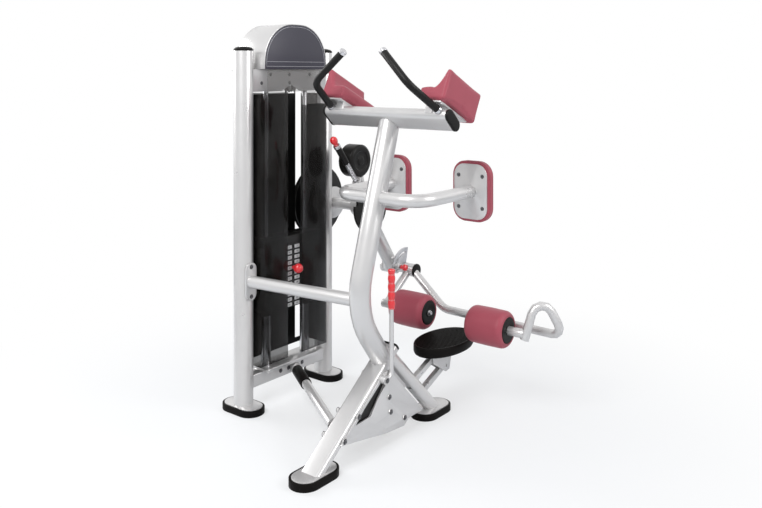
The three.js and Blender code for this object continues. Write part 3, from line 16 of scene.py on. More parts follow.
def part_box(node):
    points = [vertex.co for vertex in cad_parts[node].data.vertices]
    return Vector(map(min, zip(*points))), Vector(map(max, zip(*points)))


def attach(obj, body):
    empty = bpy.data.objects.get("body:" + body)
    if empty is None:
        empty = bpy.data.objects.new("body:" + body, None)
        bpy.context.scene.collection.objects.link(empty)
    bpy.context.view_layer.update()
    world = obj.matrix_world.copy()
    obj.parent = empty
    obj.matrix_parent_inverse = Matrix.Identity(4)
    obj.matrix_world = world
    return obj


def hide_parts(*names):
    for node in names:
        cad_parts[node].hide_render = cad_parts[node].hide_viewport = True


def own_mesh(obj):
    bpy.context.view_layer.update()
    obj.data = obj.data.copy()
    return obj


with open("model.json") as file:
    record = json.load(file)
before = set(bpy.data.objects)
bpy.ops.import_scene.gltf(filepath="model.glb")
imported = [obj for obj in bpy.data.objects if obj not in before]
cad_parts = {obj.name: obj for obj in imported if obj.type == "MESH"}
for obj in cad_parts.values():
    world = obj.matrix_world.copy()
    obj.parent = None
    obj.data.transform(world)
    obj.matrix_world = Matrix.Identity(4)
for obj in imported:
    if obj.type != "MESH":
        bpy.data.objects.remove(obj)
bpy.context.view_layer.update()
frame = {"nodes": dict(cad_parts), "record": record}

# %% [markdown]
# The machine was measured from the middle of its front tower upright. A small helper turns those
# millimetres into a place in the frame, so that every new piece lands on the solid that carries it.

# %% Measure from the tower's front upright
low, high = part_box("upright_front")
TOWER = Vector(((low.x + high.x) / 2, (low.y + high.y) / 2, 0))
MM = 0.001
STAND = 663
PIVOT = (590, 842)
KNEE = (822, 508)
ROLLER = (640, 380)
PAD_HEIGHT = 987
PAD_PLACES = (("left", STAND - 210), ("right", STAND + 210))
STACK_DEPTH = 260
TREAD_DEPTH = 594


def at(x, y, z):
    return TOWER + Vector((x, y, z)) * MM


print("tower upright stands at", [round(v, 4) for v in TOWER])

# %% [markdown]
# Camera and studio. The photograph was taken from the right front at eye height, with the horizon
# near the top of the frame, which a lens shift gives without tilting the camera. The world is plain
# white to the camera, to glossy rays and to rays through clear sheets, and dimmer where it only lights.

# %% Camera, lights and floor
camera_data = bpy.data.cameras.new("studio_camera")
camera = bpy.data.objects.new("studio_camera", camera_data)
bpy.context.scene.collection.objects.link(camera)
camera_data.sensor_width = 36
camera_data.lens = 38.41
camera_data.shift_y = -0.239
camera_data.clip_end = 100
camera.location = at(2697, -2437, 1490)
camera.rotation_euler = (math.radians(90), 0, math.radians(38.3))
bpy.context.scene.camera = camera


def area_lamp(name, place, target, size, power):
    data = bpy.data.lights.new(name, "AREA")
    data.energy = power
    data.size = size
    lamp = bpy.data.objects.new(name, data)
    lamp.location = place
    lamp.rotation_euler = (Vector(target) - Vector(place)).to_track_quat("-Z", "Y").to_euler()
    bpy.context.scene.collection.objects.link(lamp)
    return lamp


area_lamp("key_softbox", (0.4, -3.6, 4.4), (0, 0, 0.8), 2.4, 175)
area_lamp("left_softbox", (-4.0, -0.8, 2.6), (0, 0, 0.9), 1.8, 80)
area_lamp("right_softbox", (4.0, 1.2, 3.0), (0, 0, 0.9), 1.8, 80)

world = bpy.data.worlds.new("studio_world")
bpy.context.scene.world = world
world.use_nodes = True
tree = world.node_tree
tree.nodes.clear()
out = tree.nodes.new("ShaderNodeOutputWorld")
seen = tree.nodes.new("ShaderNodeBackground")
seen.inputs["Color"].default_value = (1, 1, 1, 1)
seen.inputs["Strength"].default_value = 1.0
lit = tree.nodes.new("ShaderNodeBackground")
lit.inputs["Color"].default_value = (0.93, 0.95, 1, 1)
lit.inputs["Strength"].default_value = 0.44
path = tree.nodes.new("ShaderNodeLightPath")
pick = tree.nodes.new("ShaderNodeMath")
pick.operation = "MAXIMUM"
pick_glossy = tree.nodes.new("ShaderNodeMath")
pick_glossy.operation = "MAXIMUM"
mix = tree.nodes.new("ShaderNodeMixShader")
tree.links.new(path.outputs["Is Camera Ray"], pick.inputs[0])
tree.links.new(path.outputs["Is Transmission Ray"], pick.inputs[1])
tree.links.new(pick.outputs[0], pick_glossy.inputs[0])
tree.links.new(path.outputs["Is Glossy Ray"], pick_glossy.inputs[1])
tree.links.new(pick_glossy.outputs[0], mix.inputs[0])
tree.links.new(lit.outputs[0], mix.inputs[1])
tree.links.new(seen.outputs[0], mix.inputs[2])
tree.links.new(mix.outputs[0], out.inputs["Surface"])
bpy.context.scene.view_settings.view_transform = "Standard"

floor_mesh = bpy.data.meshes.new("studio_floor")
floor_mesh.from_pydata([(-30, -30, -0.0005), (30, -30, -0.0005), (30, 30, -0.0005), (-30, 30, -0.0005)], [],
                       [(0, 1, 2, 3)])
studio_floor = bpy.data.objects.new("studio_floor", floor_mesh)
bpy.context.scene.collection.objects.link(studio_floor)
floor_finish = bpy.data.materials.new("studio_floor")
floor_finish.use_nodes = True
nodes = floor_finish.node_tree.nodes
links = floor_finish.node_tree.links
shader = nodes["Principled BSDF"]
shader.inputs["Base Color"].default_value = (0.80, 0.82, 0.84, 1)
shader.inputs["Roughness"].default_value = 0.55
glow = nodes.new("ShaderNodeEmission")
glow.inputs["Color"].default_value = (1, 1, 1, 1)
add = nodes.new("ShaderNodeMixShader")
seen_ray = nodes.new("ShaderNodeLightPath")
spot = nodes.new("ShaderNodeTexCoord")
reach = nodes.new("ShaderNodeVectorMath")
reach.operation = "LENGTH"
fade = nodes.new("ShaderNodeMapRange")
fade.interpolation_type = "SMOOTHSTEP"
fade.inputs["From Min"].default_value = 0.7
fade.inputs["From Max"].default_value = 2.2
fade.inputs["To Min"].default_value = 0.55
fade.inputs["To Max"].default_value = 1.0
links.new(spot.outputs["Object"], reach.inputs[0])
links.new(reach.outputs["Value"], fade.inputs["Value"])
weigh = nodes.new("ShaderNodeMath")
weigh.operation = "MULTIPLY"
links.new(fade.outputs["Result"], weigh.inputs[1])
links.new(seen_ray.outputs["Is Camera Ray"], weigh.inputs[0])
links.new(weigh.outputs[0], add.inputs[0])
links.new(shader.outputs[0], add.inputs[1])
links.new(glow.outputs[0], add.inputs[2])
links.new(add.outputs[0], nodes["Material Output"].inputs["Surface"])
floor_mesh.materials.append(floor_finish)
print("camera, three lamps and a floor")

# %% [markdown]
# Finishes. Real paint, vinyl and rubber are never one even colour: they have a fine grain that
# breaks up the highlight and a slow drift of tone. One helper builds all of them from two noise
# textures read in object space, one for the grain's bump and one for the drift.

# %% A helper for finishes


def finish(name, colour, rough, metal=0.0, grain=600, bump=0.05, deep=0.0002, drift=0.04, spread=0.06,
           coat=0.0, cells=False, sheen=0.0, shine=0.5):
    made = bpy.data.materials.new(name)
    made.use_nodes = True
    nodes = made.node_tree.nodes
    links = made.node_tree.links
    shader = nodes["Principled BSDF"]
    shader.inputs["Metallic"].default_value = metal
    shader.inputs["Coat Weight"].default_value = coat
    shader.inputs["Coat Roughness"].default_value = 0.12
    shader.inputs["Sheen Weight"].default_value = sheen
    shader.inputs["Specular IOR Level"].default_value = shine
    where = nodes.new("ShaderNodeTexCoord")
    slow = nodes.new("ShaderNodeTexNoise")
    slow.inputs["Scale"].default_value = 9
    slow.inputs["Detail"].default_value = 4
    links.new(where.outputs["Object"], slow.inputs["Vector"])
    tone = nodes.new("ShaderNodeMix")
    tone.data_type = "RGBA"
    tone.inputs["A"].default_value = [c * (1 - drift) for c in colour] + [1]
    tone.inputs["B"].default_value = [min(1, c * (1 + drift)) for c in colour] + [1]
    links.new(slow.outputs["Fac"], tone.inputs["Factor"])
    links.new(tone.outputs["Result"], shader.inputs["Base Color"])
    gloss = nodes.new("ShaderNodeMapRange")
    gloss.inputs["To Min"].default_value = max(0.02, rough - spread)
    gloss.inputs["To Max"].default_value = min(1, rough + spread)
    links.new(slow.outputs["Fac"], gloss.inputs["Value"])
    links.new(gloss.outputs["Result"], shader.inputs["Roughness"])
    if cells:
        fine = nodes.new("ShaderNodeTexVoronoi")
        height = fine.outputs["Distance"]
    else:
        fine = nodes.new("ShaderNodeTexNoise")
        fine.inputs["Detail"].default_value = 3
        height = fine.outputs["Fac"]
    fine.inputs["Scale"].default_value = grain
    links.new(where.outputs["Object"], fine.inputs["Vector"])
    raised = nodes.new("ShaderNodeBump")
    raised.inputs["Strength"].default_value = bump
    raised.inputs["Distance"].default_value = deep
    links.new(height, raised.inputs["Height"])
    links.new(raised.outputs["Normal"], shader.inputs["Normal"])
    return made


PAINT = finish("frame_paint", (0.61, 0.602, 0.598), 0.30, metal=0.5, grain=900, bump=0.06, coat=0.4)
STEEL = finish("bright_steel", (0.62, 0.62, 0.64), 0.22, metal=1.0, grain=1400, bump=0.03)
ZINC = finish("zinc_fasteners", (0.55, 0.55, 0.57), 0.3, metal=1.0, grain=1400, bump=0.05)
SCREW_STEEL = finish("screw_steel", (0.20, 0.20, 0.21), 0.34, metal=1.0, grain=1400, bump=0.05)
BLACK_PAINT = finish("black_paint", (0.008, 0.0075, 0.007), 0.34, grain=900, bump=0.06, shine=0.22)
BLACK_PLASTIC = finish("black_plastic", (0.005, 0.0048, 0.0045), 0.40, grain=1100, bump=0.12, shine=0.16)
RUBBER = finish("floor_rubber", (0.008, 0.007, 0.0065), 0.42, grain=800, bump=0.25, shine=0.05)
SLEEVE = finish("grip_rubber", (0.008, 0.0078, 0.0075), 0.42, grain=1500, bump=0.25, shine=0.2)
IRON = finish("cast_iron_paint", (0.009, 0.0085, 0.008), 0.45, grain=260, bump=0.35, deep=0.0006, shine=0.4)
VINYL = finish("upholstery_vinyl", (0.37, 0.075, 0.102), 0.42, grain=900, bump=0.30, deep=0.0003, cells=True,
               drift=0.06, sheen=0.08, shine=0.22)
PIPING = finish("upholstery_piping", (0.30, 0.058, 0.080), 0.45, grain=1200, bump=0.2)
RED = finish("red_plastic", (0.72, 0.022, 0.030), 0.28, grain=700, bump=0.08, coat=0.5)
SLATE = finish("slate_panel", (0.048, 0.046, 0.062), 0.40, grain=1200, bump=0.1, shine=0.35)
PALE_PRINT = finish("pale_print", (0.55, 0.55, 0.58), 0.5, grain=1200, bump=0.05)
LABEL = finish("plate_label", (0.50, 0.50, 0.50), 0.45, grain=1200, bump=0.05)
# This black is the print on the plate labels, and on the bolts it is painted shade.
INK_AND_SHADE = finish("label_ink_and_bolt_shade", (0.02, 0.02, 0.02), 0.5, grain=1200, bump=0.05)
CABLE = finish("cable_sheath", (0.015, 0.015, 0.015), 0.35, grain=1600, bump=0.2)
SMOKE = finish("smoked_sheet", (0.010, 0.009, 0.008), 0.12, grain=300, bump=0.02, spread=0.03, shine=0.3)
SMOKE.node_tree.nodes["Principled BSDF"].inputs["Alpha"].default_value = 0.55
HAZE = finish("clear_sheet", (0.20, 0.19, 0.18), 0.12, grain=300, bump=0.02, spread=0.03)
HAZE.node_tree.nodes["Principled BSDF"].inputs["Alpha"].default_value = 0.30
print(len(bpy.data.materials), "finishes")

# %% [markdown]
# Mesh helpers. Almost every new piece here is a loft: a row of matching loops joined by faces and
# closed at both ends. A tube is a loft of circles along a bent line, and a turned piece is a loft of
# circles along an axis.

# %% Loops, lofts, tubes and turned pieces


def loft(loops, ring=False):
    size = len(loops[0])
    points = [p for loop in loops for p in loop]
    faces = []
    rows = len(loops) if ring else len(loops) - 1
    for row in range(rows):
        here = row * size
        there = ((row + 1) % len(loops)) * size
        for i in range(size):
            j = (i + 1) % size
            faces.append((here + i, here + j, there + j, there + i))
    if not ring:
        faces.append(tuple(reversed(range(size))))
        faces.append(tuple(range((len(loops) - 1) * size, len(loops) * size)))
    return points, faces


def gather(*shapes):
    points = []
    faces = []
    for shape_points, shape_faces in shapes:
        start = len(points)
        points += list(shape_points)
        faces += [tuple(start + i for i in face) for face in shape_faces]
    return points, faces


def tube(line, radius, sides=32, round_end=0.0, closed=False):
    line = [Vector(p) for p in line]
    count = len(line)
    tangents = []
    for i in range(count):
        before = line[i - 1] if i or closed else line[i]
        after = line[(i + 1) % count] if i < count - 1 or closed else line[i]
        tangents.append((after - before).normalized())
    side = tangents[0].orthogonal().normalized()
    loops = []
    for i in range(count):
        side = (side - tangents[i] * side.dot(tangents[i])).normalized()
        other = tangents[i].cross(side)
        r = radius[i] if isinstance(radius, (list, tuple)) else radius
        loops.append([line[i] + (side * math.cos(a) + other * math.sin(a)) * r
                      for a in (2 * math.pi * k / sides for k in range(sides))])
    if round_end and not closed:
        def end_cap(loop, centre, outward):
            return [[centre + (p - centre) * (1 - round_end * (1 - math.cos(a)) / radius)
                     + outward * round_end * math.sin(a) for p in loop] for a in (0.5, 1.0, 1.5)]
        first = end_cap(loops[0], line[0], -tangents[0])
        last = end_cap(loops[-1], line[-1], tangents[-1])
        loops = list(reversed(first)) + loops + last
    return loft(loops, ring=closed)


def turned(profile, start, axis, sides=48):
    axis = Vector(axis).normalized()
    side = axis.orthogonal().normalized()
    other = axis.cross(side)
    start = Vector(start)
    loops = []
    for radius, along in profile:
        r = max(radius, 0.02) * MM
        loops.append([start + axis * along * MM + (side * math.cos(a) + other * math.sin(a)) * r
                      for a in (2 * math.pi * k / sides for k in range(sides))])
    return loft(loops)


def smooth(mesh, angle=32):
    for face in mesh.polygons:
        face.use_smooth = True
    mesh.set_sharp_from_angle(angle=math.radians(angle))


made_count = 0


def add_piece(name, shape, material, body, replaces=(), angle=32, outward=True):
    global made_count
    if isinstance(shape, bpy.types.Mesh):
        mesh = shape
    else:
        mesh = bpy.data.meshes.new(name)
        mesh.from_pydata([tuple(p) for p in shape[0]], [], shape[1])
    if outward:
        work = bmesh.new()
        work.from_mesh(mesh)
        bmesh.ops.recalc_face_normals(work, faces=work.faces)
        work.to_mesh(mesh)
        work.free()
    smooth(mesh, angle)
    mesh.materials.clear()
    mesh.materials.append(material)
    piece = bpy.data.objects.new(name, mesh)
    bpy.context.scene.collection.objects.link(piece)
    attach(piece, body)
    if replaces:
        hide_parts(*replaces)
    made_count += 1
    return piece


# %% [markdown]
# Rigid solids that already have the right shape get a skin: a copy with its loose triangles merged,
# its flat areas joined back into single faces, and its hard edges rounded by a small bevel. The
# rounded edge is what catches the light on real sheet and tube. The cable over the stack shortens as
# the stack lifts, because the real one runs off over its pulley, so its skin gets a mesh of its own.

# %% A skin over a rigid solid
BODY_OF = {node: body for body, members in frame["record"]["behaviour"]["bodies"].items() for node in members}


def skin(node, material, edge=1.0, angle=35, shade=32):
    source = frame["nodes"][node]
    work = bmesh.new()
    work.from_mesh(source.data)
    bmesh.ops.remove_doubles(work, verts=work.verts, dist=2e-5)
    bmesh.ops.dissolve_limit(work, angle_limit=math.radians(0.6), verts=work.verts, edges=work.edges)
    mesh = bpy.data.meshes.new(node + "_skin")
    work.to_mesh(mesh)
    work.free()
    if edge:
        helper = bpy.data.objects.new(node + "_edges", mesh)
        bpy.context.scene.collection.objects.link(helper)
        bevel = helper.modifiers.new("rounded_edges", "BEVEL")
        bevel.width = edge * MM
        bevel.segments = 2
        bevel.limit_method = "ANGLE"
        bevel.angle_limit = math.radians(angle)
        bevel.use_clamp_overlap = True
        graph = bpy.context.evaluated_depsgraph_get()
        rounded = bpy.data.meshes.new_from_object(helper.evaluated_get(graph))
        bpy.data.objects.remove(helper)
        mesh = rounded
    return add_piece(node + "_skin", mesh, material, BODY_OF[node], [node], angle=shade,
                     outward=False)


painted = {
    "stack_base": 2.0, "head_frame": 0.8, "header_cover": 1.2, "axle_housing": 1.0, "swing_arm": 1.5,
    "roller_carrier": 1.2, "front_leg": 1.5, "rear_leg": 1.0, "post": 1.0, "gusset_left": 1.0,
    "gusset_right": 1.0, "tie_bar": 1.2, "floor_strut": 1.2, "top_bar": 1.0, "pad_bow": 0.8,
    "platform_lever": 1.0, "link_upper": 2.0,
    "link_lower": 2.0, "platform_bracket": 1.0, "upright_front": 0.8, "upright_rear": 0.8,
}
for node, edge in painted.items():
    skin(node, PAINT, edge)
arm_skin = bpy.data.objects["swing_arm_skin"]
arm_skin.data.materials.append(ZINC)
near_face = at(269.6, 0, 0).x
far_face = at(278.4, 0, 0).x
knee_place = at(0, *KNEE)
for face in arm_skin.data.polygons:
    from_knee = math.hypot(face.center.y - knee_place.y, face.center.z - knee_place.z)
    if near_face < face.center.x < far_face and 0.024 < from_knee < 0.108:
        face.material_index = 1
for node in ("guide_rod_front", "guide_rod_rear", "stack_riser_front", "stack_riser_rear"):
    skin(node, STEEL, 0.8)
for node in [n for n in frame["nodes"] if n.startswith("weight_plate")] + ["top_plate"]:
    skin(node, IRON, 1.2)
for node in ("cam_shaft", "counterweight"):
    skin(node, BLACK_PAINT, 1.0)
for node in ("head_pulley_inner", "head_pulley_outer", "front_leg_cap"):
    skin(node, BLACK_PLASTIC, 0.8)
skin("rear_cover", BLACK_PLASTIC, 0.6)
for node in ("front_cover_left", "front_cover_right"):
    skin(node, SMOKE, 0.5)
for node in ("foot_tower_front", "foot_tower_rear", "foot_stand_front", "foot_stand_rear"):
    skin(node, RUBBER, 2.0)
skin("strut_sleeve", RUBBER, 1.5)
for node in ("hand_grip_left", "hand_grip_right"):
    skin(node, SLEEVE, 0.8)
for node in ("cable_stack", "cable_head"):
    skin(node, CABLE, 0)
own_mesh(bpy.data.objects["cable_stack_skin"])
skin("header_panel", SLATE, 0.8)
print(made_count, "skins")

# %% [markdown]
# Upright caps, riser tops and bar ends. Open tube ends are closed with moulded plastic caps that sit
# a little proud, so each is turned or lofted over the end that it closes.

# %% Caps on tube ends
for name, y in (("upright_cap_front", 0), ("upright_cap_rear", 520)):
    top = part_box(name.replace("_cap", ""))[1].z / MM
    profile = [(43.7, -19), (43.9, -18), (43.9, -13), (42, -10), (34, -4), (17, 0), (0, 1)]
    profile = [(radius, top + up) for radius, up in profile]
    add_piece(name, turned(profile, at(0, y, 0), (0, 0, 1), 56), BLACK_PLASTIC, "frame")
for name, y in (("riser_top_front", 134), ("riser_top_rear", 386)):
    outer = [(13.6, 387), (23.7, 387), (23.9, 388), (23.9, 405.5), (22.5, 407), (13.6, 407)]
    loops = turned(outer, at(0, y, 0), (0, 0, 1), 40)
    size = 40
    points = loops[0]
    last = (len(outer) - 1) * size
    faces = loops[1][:-2] + [(last + i, last + (i + 1) % size, (i + 1) % size, i)
                             for i in range(size)]
    add_piece(name, (points, faces), RUBBER, "frame")


def racetrack(length, width, steps=14):
    r = width / 2
    reach = length / 2 - r
    right = [(reach + r * math.cos(a), r * math.sin(a)) for a in
             (-math.pi / 2 + math.pi * k / steps for k in range(steps + 1))]
    left = [(-reach - r * math.cos(a), -r * math.sin(a)) for a in
            (-math.pi / 2 + math.pi * k / steps for k in range(steps + 1))]
    return right + left


def bar_end(x, way):
    tilt = math.radians(43)
    loops = []
    for grow, out in ((1.0, -6), (1.4, -5), (1.4, 2), (0.6, 3.4), (-1.5, 4.2), (-8, 4.4)):
        loops.append([at(x + way * out, 186 + u * math.cos(tilt) + v * math.sin(tilt),
                         1303 - u * math.sin(tilt) + v * math.cos(tilt))
                      for u, v in racetrack(104 + 2 * grow, 46 + 2 * grow)])
    return loft(loops)


add_piece("bar_cap_right", bar_end(977, 1), BLACK_PLASTIC, "frame")
add_piece("bar_cap_left", bar_end(349, -1), BLACK_PLASTIC, "frame")
carrier_cap = [(31.6, -4), (33.5, -3), (33.5, 3), (32, 5), (27, 6.5), (0, 7)]
add_piece("carrier_cap_right", turned(carrier_cap, at(345, *KNEE), (1, 0, 0)), BLACK_PLASTIC, "carrier")
print("caps on", made_count, "pieces so far")

# %% [markdown]
# Roller pads. A foam roller has straight sides that swell a little in the middle, wide rounded
# shoulders, and a moulded disc let into each end. Turning the profile gives the skin of the foam,
# and two turned discs with a bolt close its ends.

# %% Roller pads with their end discs


def roller_profile():
    half = 93
    crown = [(80.6 - 1.0 * (t / 0.70) ** 2, half * t) for t in np.linspace(-0.70, 0.70, 15)]
    shoulder = [(55 + 24.4 * math.cos(a), half - 25 + 25 * math.sin(a)) for a in np.linspace(0.1, 1.50, 10)]
    right = crown + shoulder + [(56, half - 2), (54, half - 6), (12.9, half - 6)]
    left = [(r, -along) for r, along in reversed(shoulder)]
    return [(12.9, -half + 6), (54, -half + 6), (56, -half + 2)] + left + right


def ringed(profile, start, axis, sides):
    points, faces = turned(profile, start, axis, sides)
    last = (len(profile) - 1) * sides
    faces = faces[:-2] + [(last + i, last + (i + 1) % sides, (i + 1) % sides, i) for i in range(sides)]
    return points, faces


for side, middle in (("left", 455), ("right", 871)):
    body = "roller_%s_unit" % side
    foam_shape = ringed(roller_profile(), at(middle, *ROLLER), (1, 0, 0), 72)
    foam = add_piece("roller_foam_" + side, foam_shape, VINYL, body,
                     ["roller_" + side], angle=60)
    for end, way in (("inner", -1), ("outer", 1)):
        disc = [(13.2, 0), (53, 0), (54.5, 2), (54.5, 6), (52, 8), (40, 9), (30, 7.5), (20, 7.5), (18, 9.5),
                (13.2, 9.5)]
        add_piece("roller_disc_%s_%s" % (side, end),
                  ringed(disc, at(middle + way * 86, *ROLLER), (way, 0, 0), 56), BLACK_PLASTIC, body)
axle_bolt = [(11, 0), (11, 3), (9, 4), (9, 9), (7, 10), (0, 10)]
add_piece("axle_bolt_left", turned(axle_bolt, at(552, *ROLLER), (1, 0, 0), 24), ZINC, "carrier")
add_piece("axle_bolt_right", turned(axle_bolt, at(774, *ROLLER), (-1, 0, 0), 24), ZINC, "carrier")
print("two rollers")

# %% [markdown]
# Back pads and elbow pads. Vinyl stretched over foam swells between its edges. The solid is remeshed
# into even small faces, then a short cloth simulation with pressure and no gravity blows it out, and
# a cap on how far a point may move keeps it in the space that its solid holds.

# %% Inflate an upholstered pad


def puff(node, name, shrink, cap, swell, cell=0.006, relax=4):
    source = frame["nodes"][node]
    work = bmesh.new()
    work.from_mesh(source.data)
    bmesh.ops.remove_doubles(work, verts=work.verts, dist=2e-5)
    bmesh.ops.recalc_face_normals(work, faces=work.faces)
    mesh = bpy.data.meshes.new(name)
    work.to_mesh(mesh)
    work.free()
    piece = bpy.data.objects.new(name, mesh)
    bpy.context.scene.collection.objects.link(piece)
    remesh = piece.modifiers.new("even_faces", "REMESH")
    remesh.mode = "VOXEL"
    remesh.voxel_size = cell
    even = piece.modifiers.new("relax", "SMOOTH")
    even.factor = 0.5
    even.iterations = relax
    graph = bpy.context.evaluated_depsgraph_get()
    base = bpy.data.meshes.new_from_object(piece.evaluated_get(graph))
    piece.modifiers.clear()
    piece.data = base
    centre = sum((v.co for v in base.vertices), Vector()) / len(base.vertices)
    for vertex in base.vertices:
        vertex.co = centre + (vertex.co - centre) * shrink
    rest = np.array([v.co for v in base.vertices])
    cloth = piece.modifiers.new("foam_pressure", "CLOTH")
    cloth.settings.use_pressure = True
    cloth.settings.uniform_pressure_force = swell
    cloth.settings.effector_weights.gravity = 0
    cloth.settings.tension_stiffness = 25
    cloth.settings.quality = 5
    cloth.point_cache.frame_start = 1
    cloth.point_cache.frame_end = 20
    for step in range(1, 21):
        bpy.context.scene.frame_set(step)
    graph = bpy.context.evaluated_depsgraph_get()
    blown = piece.evaluated_get(graph).to_mesh()
    moved = np.array([v.co for v in blown.vertices])
    shift = moved - rest
    far = np.linalg.norm(shift, axis=1, keepdims=True)
    shift *= np.minimum(1, cap * MM / np.maximum(far, 1e-9))
    piece.modifiers.clear()
    base.vertices.foreach_set("co", (rest + shift).ravel())
    base.update()
    bpy.context.scene.frame_set(1)
    finer = piece.modifiers.new("finer_skin", "SUBSURF")
    finer.levels = 1
    finer.render_levels = 1
    graph = bpy.context.evaluated_depsgraph_get()
    final = bpy.data.meshes.new_from_object(piece.evaluated_get(graph))
    bpy.data.objects.remove(piece)
    made = add_piece(name, final, VINYL, BODY_OF[node], [node], angle=70, outward=False)
    print(name, len(final.polygons), "faces")
    return made


puff("back_pad_left", "back_cushion_left", 1.0, 2, 4, cell=0.005, relax=1)
puff("back_pad_right", "back_cushion_right", 1.0, 2, 4, cell=0.005, relax=1)
puff("elbow_pad_left", "elbow_cushion_left", 0.995, 3, 4, cell=0.005, relax=2)
puff("elbow_pad_right", "elbow_cushion_right", 0.995, 3, 4, cell=0.005, relax=2)

# %% [markdown]
# Piping. A sewn welt runs round each back pad where the front panel meets the border, and it is a
# thin closed tube on the pad's own outline.

# %% Welts round the back pads


def rounded_outline(width, height, corner, steps=10):
    x = width / 2 - corner
    y = height / 2 - corner
    points = []
    for cx, cy, start in ((x, -y, -90), (x, y, 0), (-x, y, 90), (-x, -y, 180)):
        for k in range(steps + 1):
            a = math.radians(start + 90 * k / steps)
            points.append((cx + corner * math.cos(a), cy + corner * math.sin(a)))
    return points


for side, x in PAD_PLACES:
    cushion = bpy.data.objects["back_cushion_" + side].data
    corners = [v.co for v in cushion.vertices]
    surface = BVHTree.FromPolygons(corners, [list(f.vertices) for f in cushion.polygons])
    for row, depth in (("rear", 489), ("front", 511)):
        line = []
        for u, v in rounded_outline(186, 258, 62):
            outside = at(x + 1.3 * u, depth, PAD_HEIGHT + 1.3 * v)
            inward = (at(x, depth, PAD_HEIGHT) - outside).normalized()
            hit = surface.ray_cast(outside, inward)[0]
            line.append(hit if hit else at(x + u, depth, PAD_HEIGHT + v))
        add_piece("back_welt_%s_%s" % (side, row), tube(line, 1.7 * MM, 8, closed=True), PIPING, "frame",
                  angle=80)
print("welts sewn")

# %% [markdown]
# Hand grips end in bright caps, and a bright collar sits at each root. They are turned along the
# grip's own direction.

# %% Bright ends on the hand grips
for side, way in (("left", -1), ("right", 1)):
    root = at(STAND + way * 275, 150, 1340)
    knee = at(STAND + way * 238, 0, 1445)
    tip = at(STAND + way * 104, 22, 1568)
    cap = [(15.4, -6), (16.4, -5), (16.4, 6), (15.6, 9), (12, 11), (0, 12)]
    add_piece("grip_cap_" + side, turned(cap, tip, tip - knee, 32), STEEL, "frame")
    collar = [(11.4, 2), (16.2, 2), (17, 3), (17, 14), (16.2, 15.5), (15.1, 15.5)]
    add_piece("grip_collar_" + side, turned(collar, root, knee - root, 32), STEEL, "frame")
print("grips finished")

# %% [markdown]
# The start pin. On the real machine a long pull rod with a sprung nose drops into the rim of the
# index disc. It is rebuilt here from what it is made of: a bright rod, a wound spring, a black hand
# sleeve, a bright collar and a lobed red knob.

# %% Start pin
START = math.radians(128)
outward = Vector((0, math.cos(START), math.sin(START)))
pin_root = at(241, *PIVOT)


def along_pin(reach):
    return pin_root + outward * reach * MM


rod_shape = turned([(0, 106), (5.5, 106.5), (6.5, 108), (6.5, 398), (0, 398)], pin_root, outward, 24)
add_piece("start_pin_rod", rod_shape, STEEL, "start_pin_unit", ["start_pin"])
side_a = outward.orthogonal().normalized()
side_b = outward.cross(side_a)
coils = 15
helix = []
for k in range(coils * 16 + 1):
    a = 2 * math.pi * k / 16
    swing = side_a * math.cos(a) + side_b * math.sin(a)
    helix.append(along_pin(175 + 108 * k / (coils * 16)) + swing * 10.5 * MM)
add_piece("start_pin_spring", tube(helix, 1.5 * MM, 8), STEEL, "start_pin_unit", angle=80)
sleeve_ridges = [(15.5 - (0.9 if k % 2 else 0), 290 + k * 4) for k in range(23)]
sleeve = [(6.6, 284), (14, 285), (15.5, 288)] + sleeve_ridges + [
    (15, 382), (6.6, 383)]
add_piece("start_pin_sleeve", turned(sleeve, pin_root, outward, 32), SLEEVE, "start_pin_unit",
          angle=50)
collar = [(6.6, 383), (16, 383), (17, 384), (17, 396), (15, 398.5), (0, 399)]
add_piece("start_pin_collar", turned(collar, pin_root, outward, 32), STEEL, "start_pin_unit")


def lobed(profile, start, axis, lobes, depth, sides=60):
    points, faces = turned(profile, start, axis, sides)
    axis = Vector(axis).normalized()
    shaped = []
    for i, p in enumerate(points):
        middle = Vector(start) + axis * (Vector(p) - Vector(start)).dot(axis)
        angle = 2 * math.pi * (i % sides) / sides
        shaped.append(middle + (Vector(p) - middle) * (1 - depth * (0.5 - 0.5 * math.cos(lobes * angle))))
    return shaped, faces


knob = [(0, 398), (9, 398.5), (11, 401), (12, 408), (15, 414), (17, 421), (17, 430), (15, 438), (10, 443),
        (0, 445)]
add_piece("start_pin_knob", lobed(knob, pin_root, outward, 6, 0.10), RED, "start_pin_unit",
          angle=60)

# %% [markdown]
# The set pin and the selector pin. Both are a bright nose with a red moulded knob that a finger and
# thumb can pull.

# %% Set pin and selector pin
SET = math.radians(160)
set_place = (KNEE[0] + 84 * math.cos(SET), KNEE[1] + 84 * math.sin(SET))
nose = [(0, 265.4), (2.5, 265.6), (3.5, 267), (3.5, 279), (5, 279.2), (5, 310), (0, 310)]
add_piece("set_pin_nose", turned(nose, at(0, *set_place), (1, 0, 0), 20), STEEL, "set_pin_unit",
          ["set_pin"])
knob_end = (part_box("set_pin")[1].x - TOWER.x) / MM
grip = [(0, -34), (10, -33.8), (10, -26), (9, -24), (14, -20), (16.5, -15), (16.5, -7), (13, -1.5), (0, 0)]
grip = [(radius, knob_end + back) for radius, back in grip]
add_piece("set_pin_knob", lobed(grip, at(0, *set_place), (1, 0, 0), 6, 0.08), RED, "set_pin_unit",
          angle=60)
low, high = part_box("selector_pin")
pin_height = ((low + high) / 2).z / MM
stem = [(0, 4), (3.5, 4.2), (4.5, 6), (4.5, 56), (0, 56)]
pin_spot = at(0, STACK_DEPTH, pin_height)
add_piece("selector_stem", turned(stem, pin_spot, (1, 0, 0), 20), STEEL, "selector",
          ["selector_pin"])
ball = [(8.8, 50.5), (9, 51.5), (9, 60)] + [(22 * math.sin(a), 83 - 22 * math.cos(a)) for a in
                                           np.linspace(0.45, math.pi, 16)]
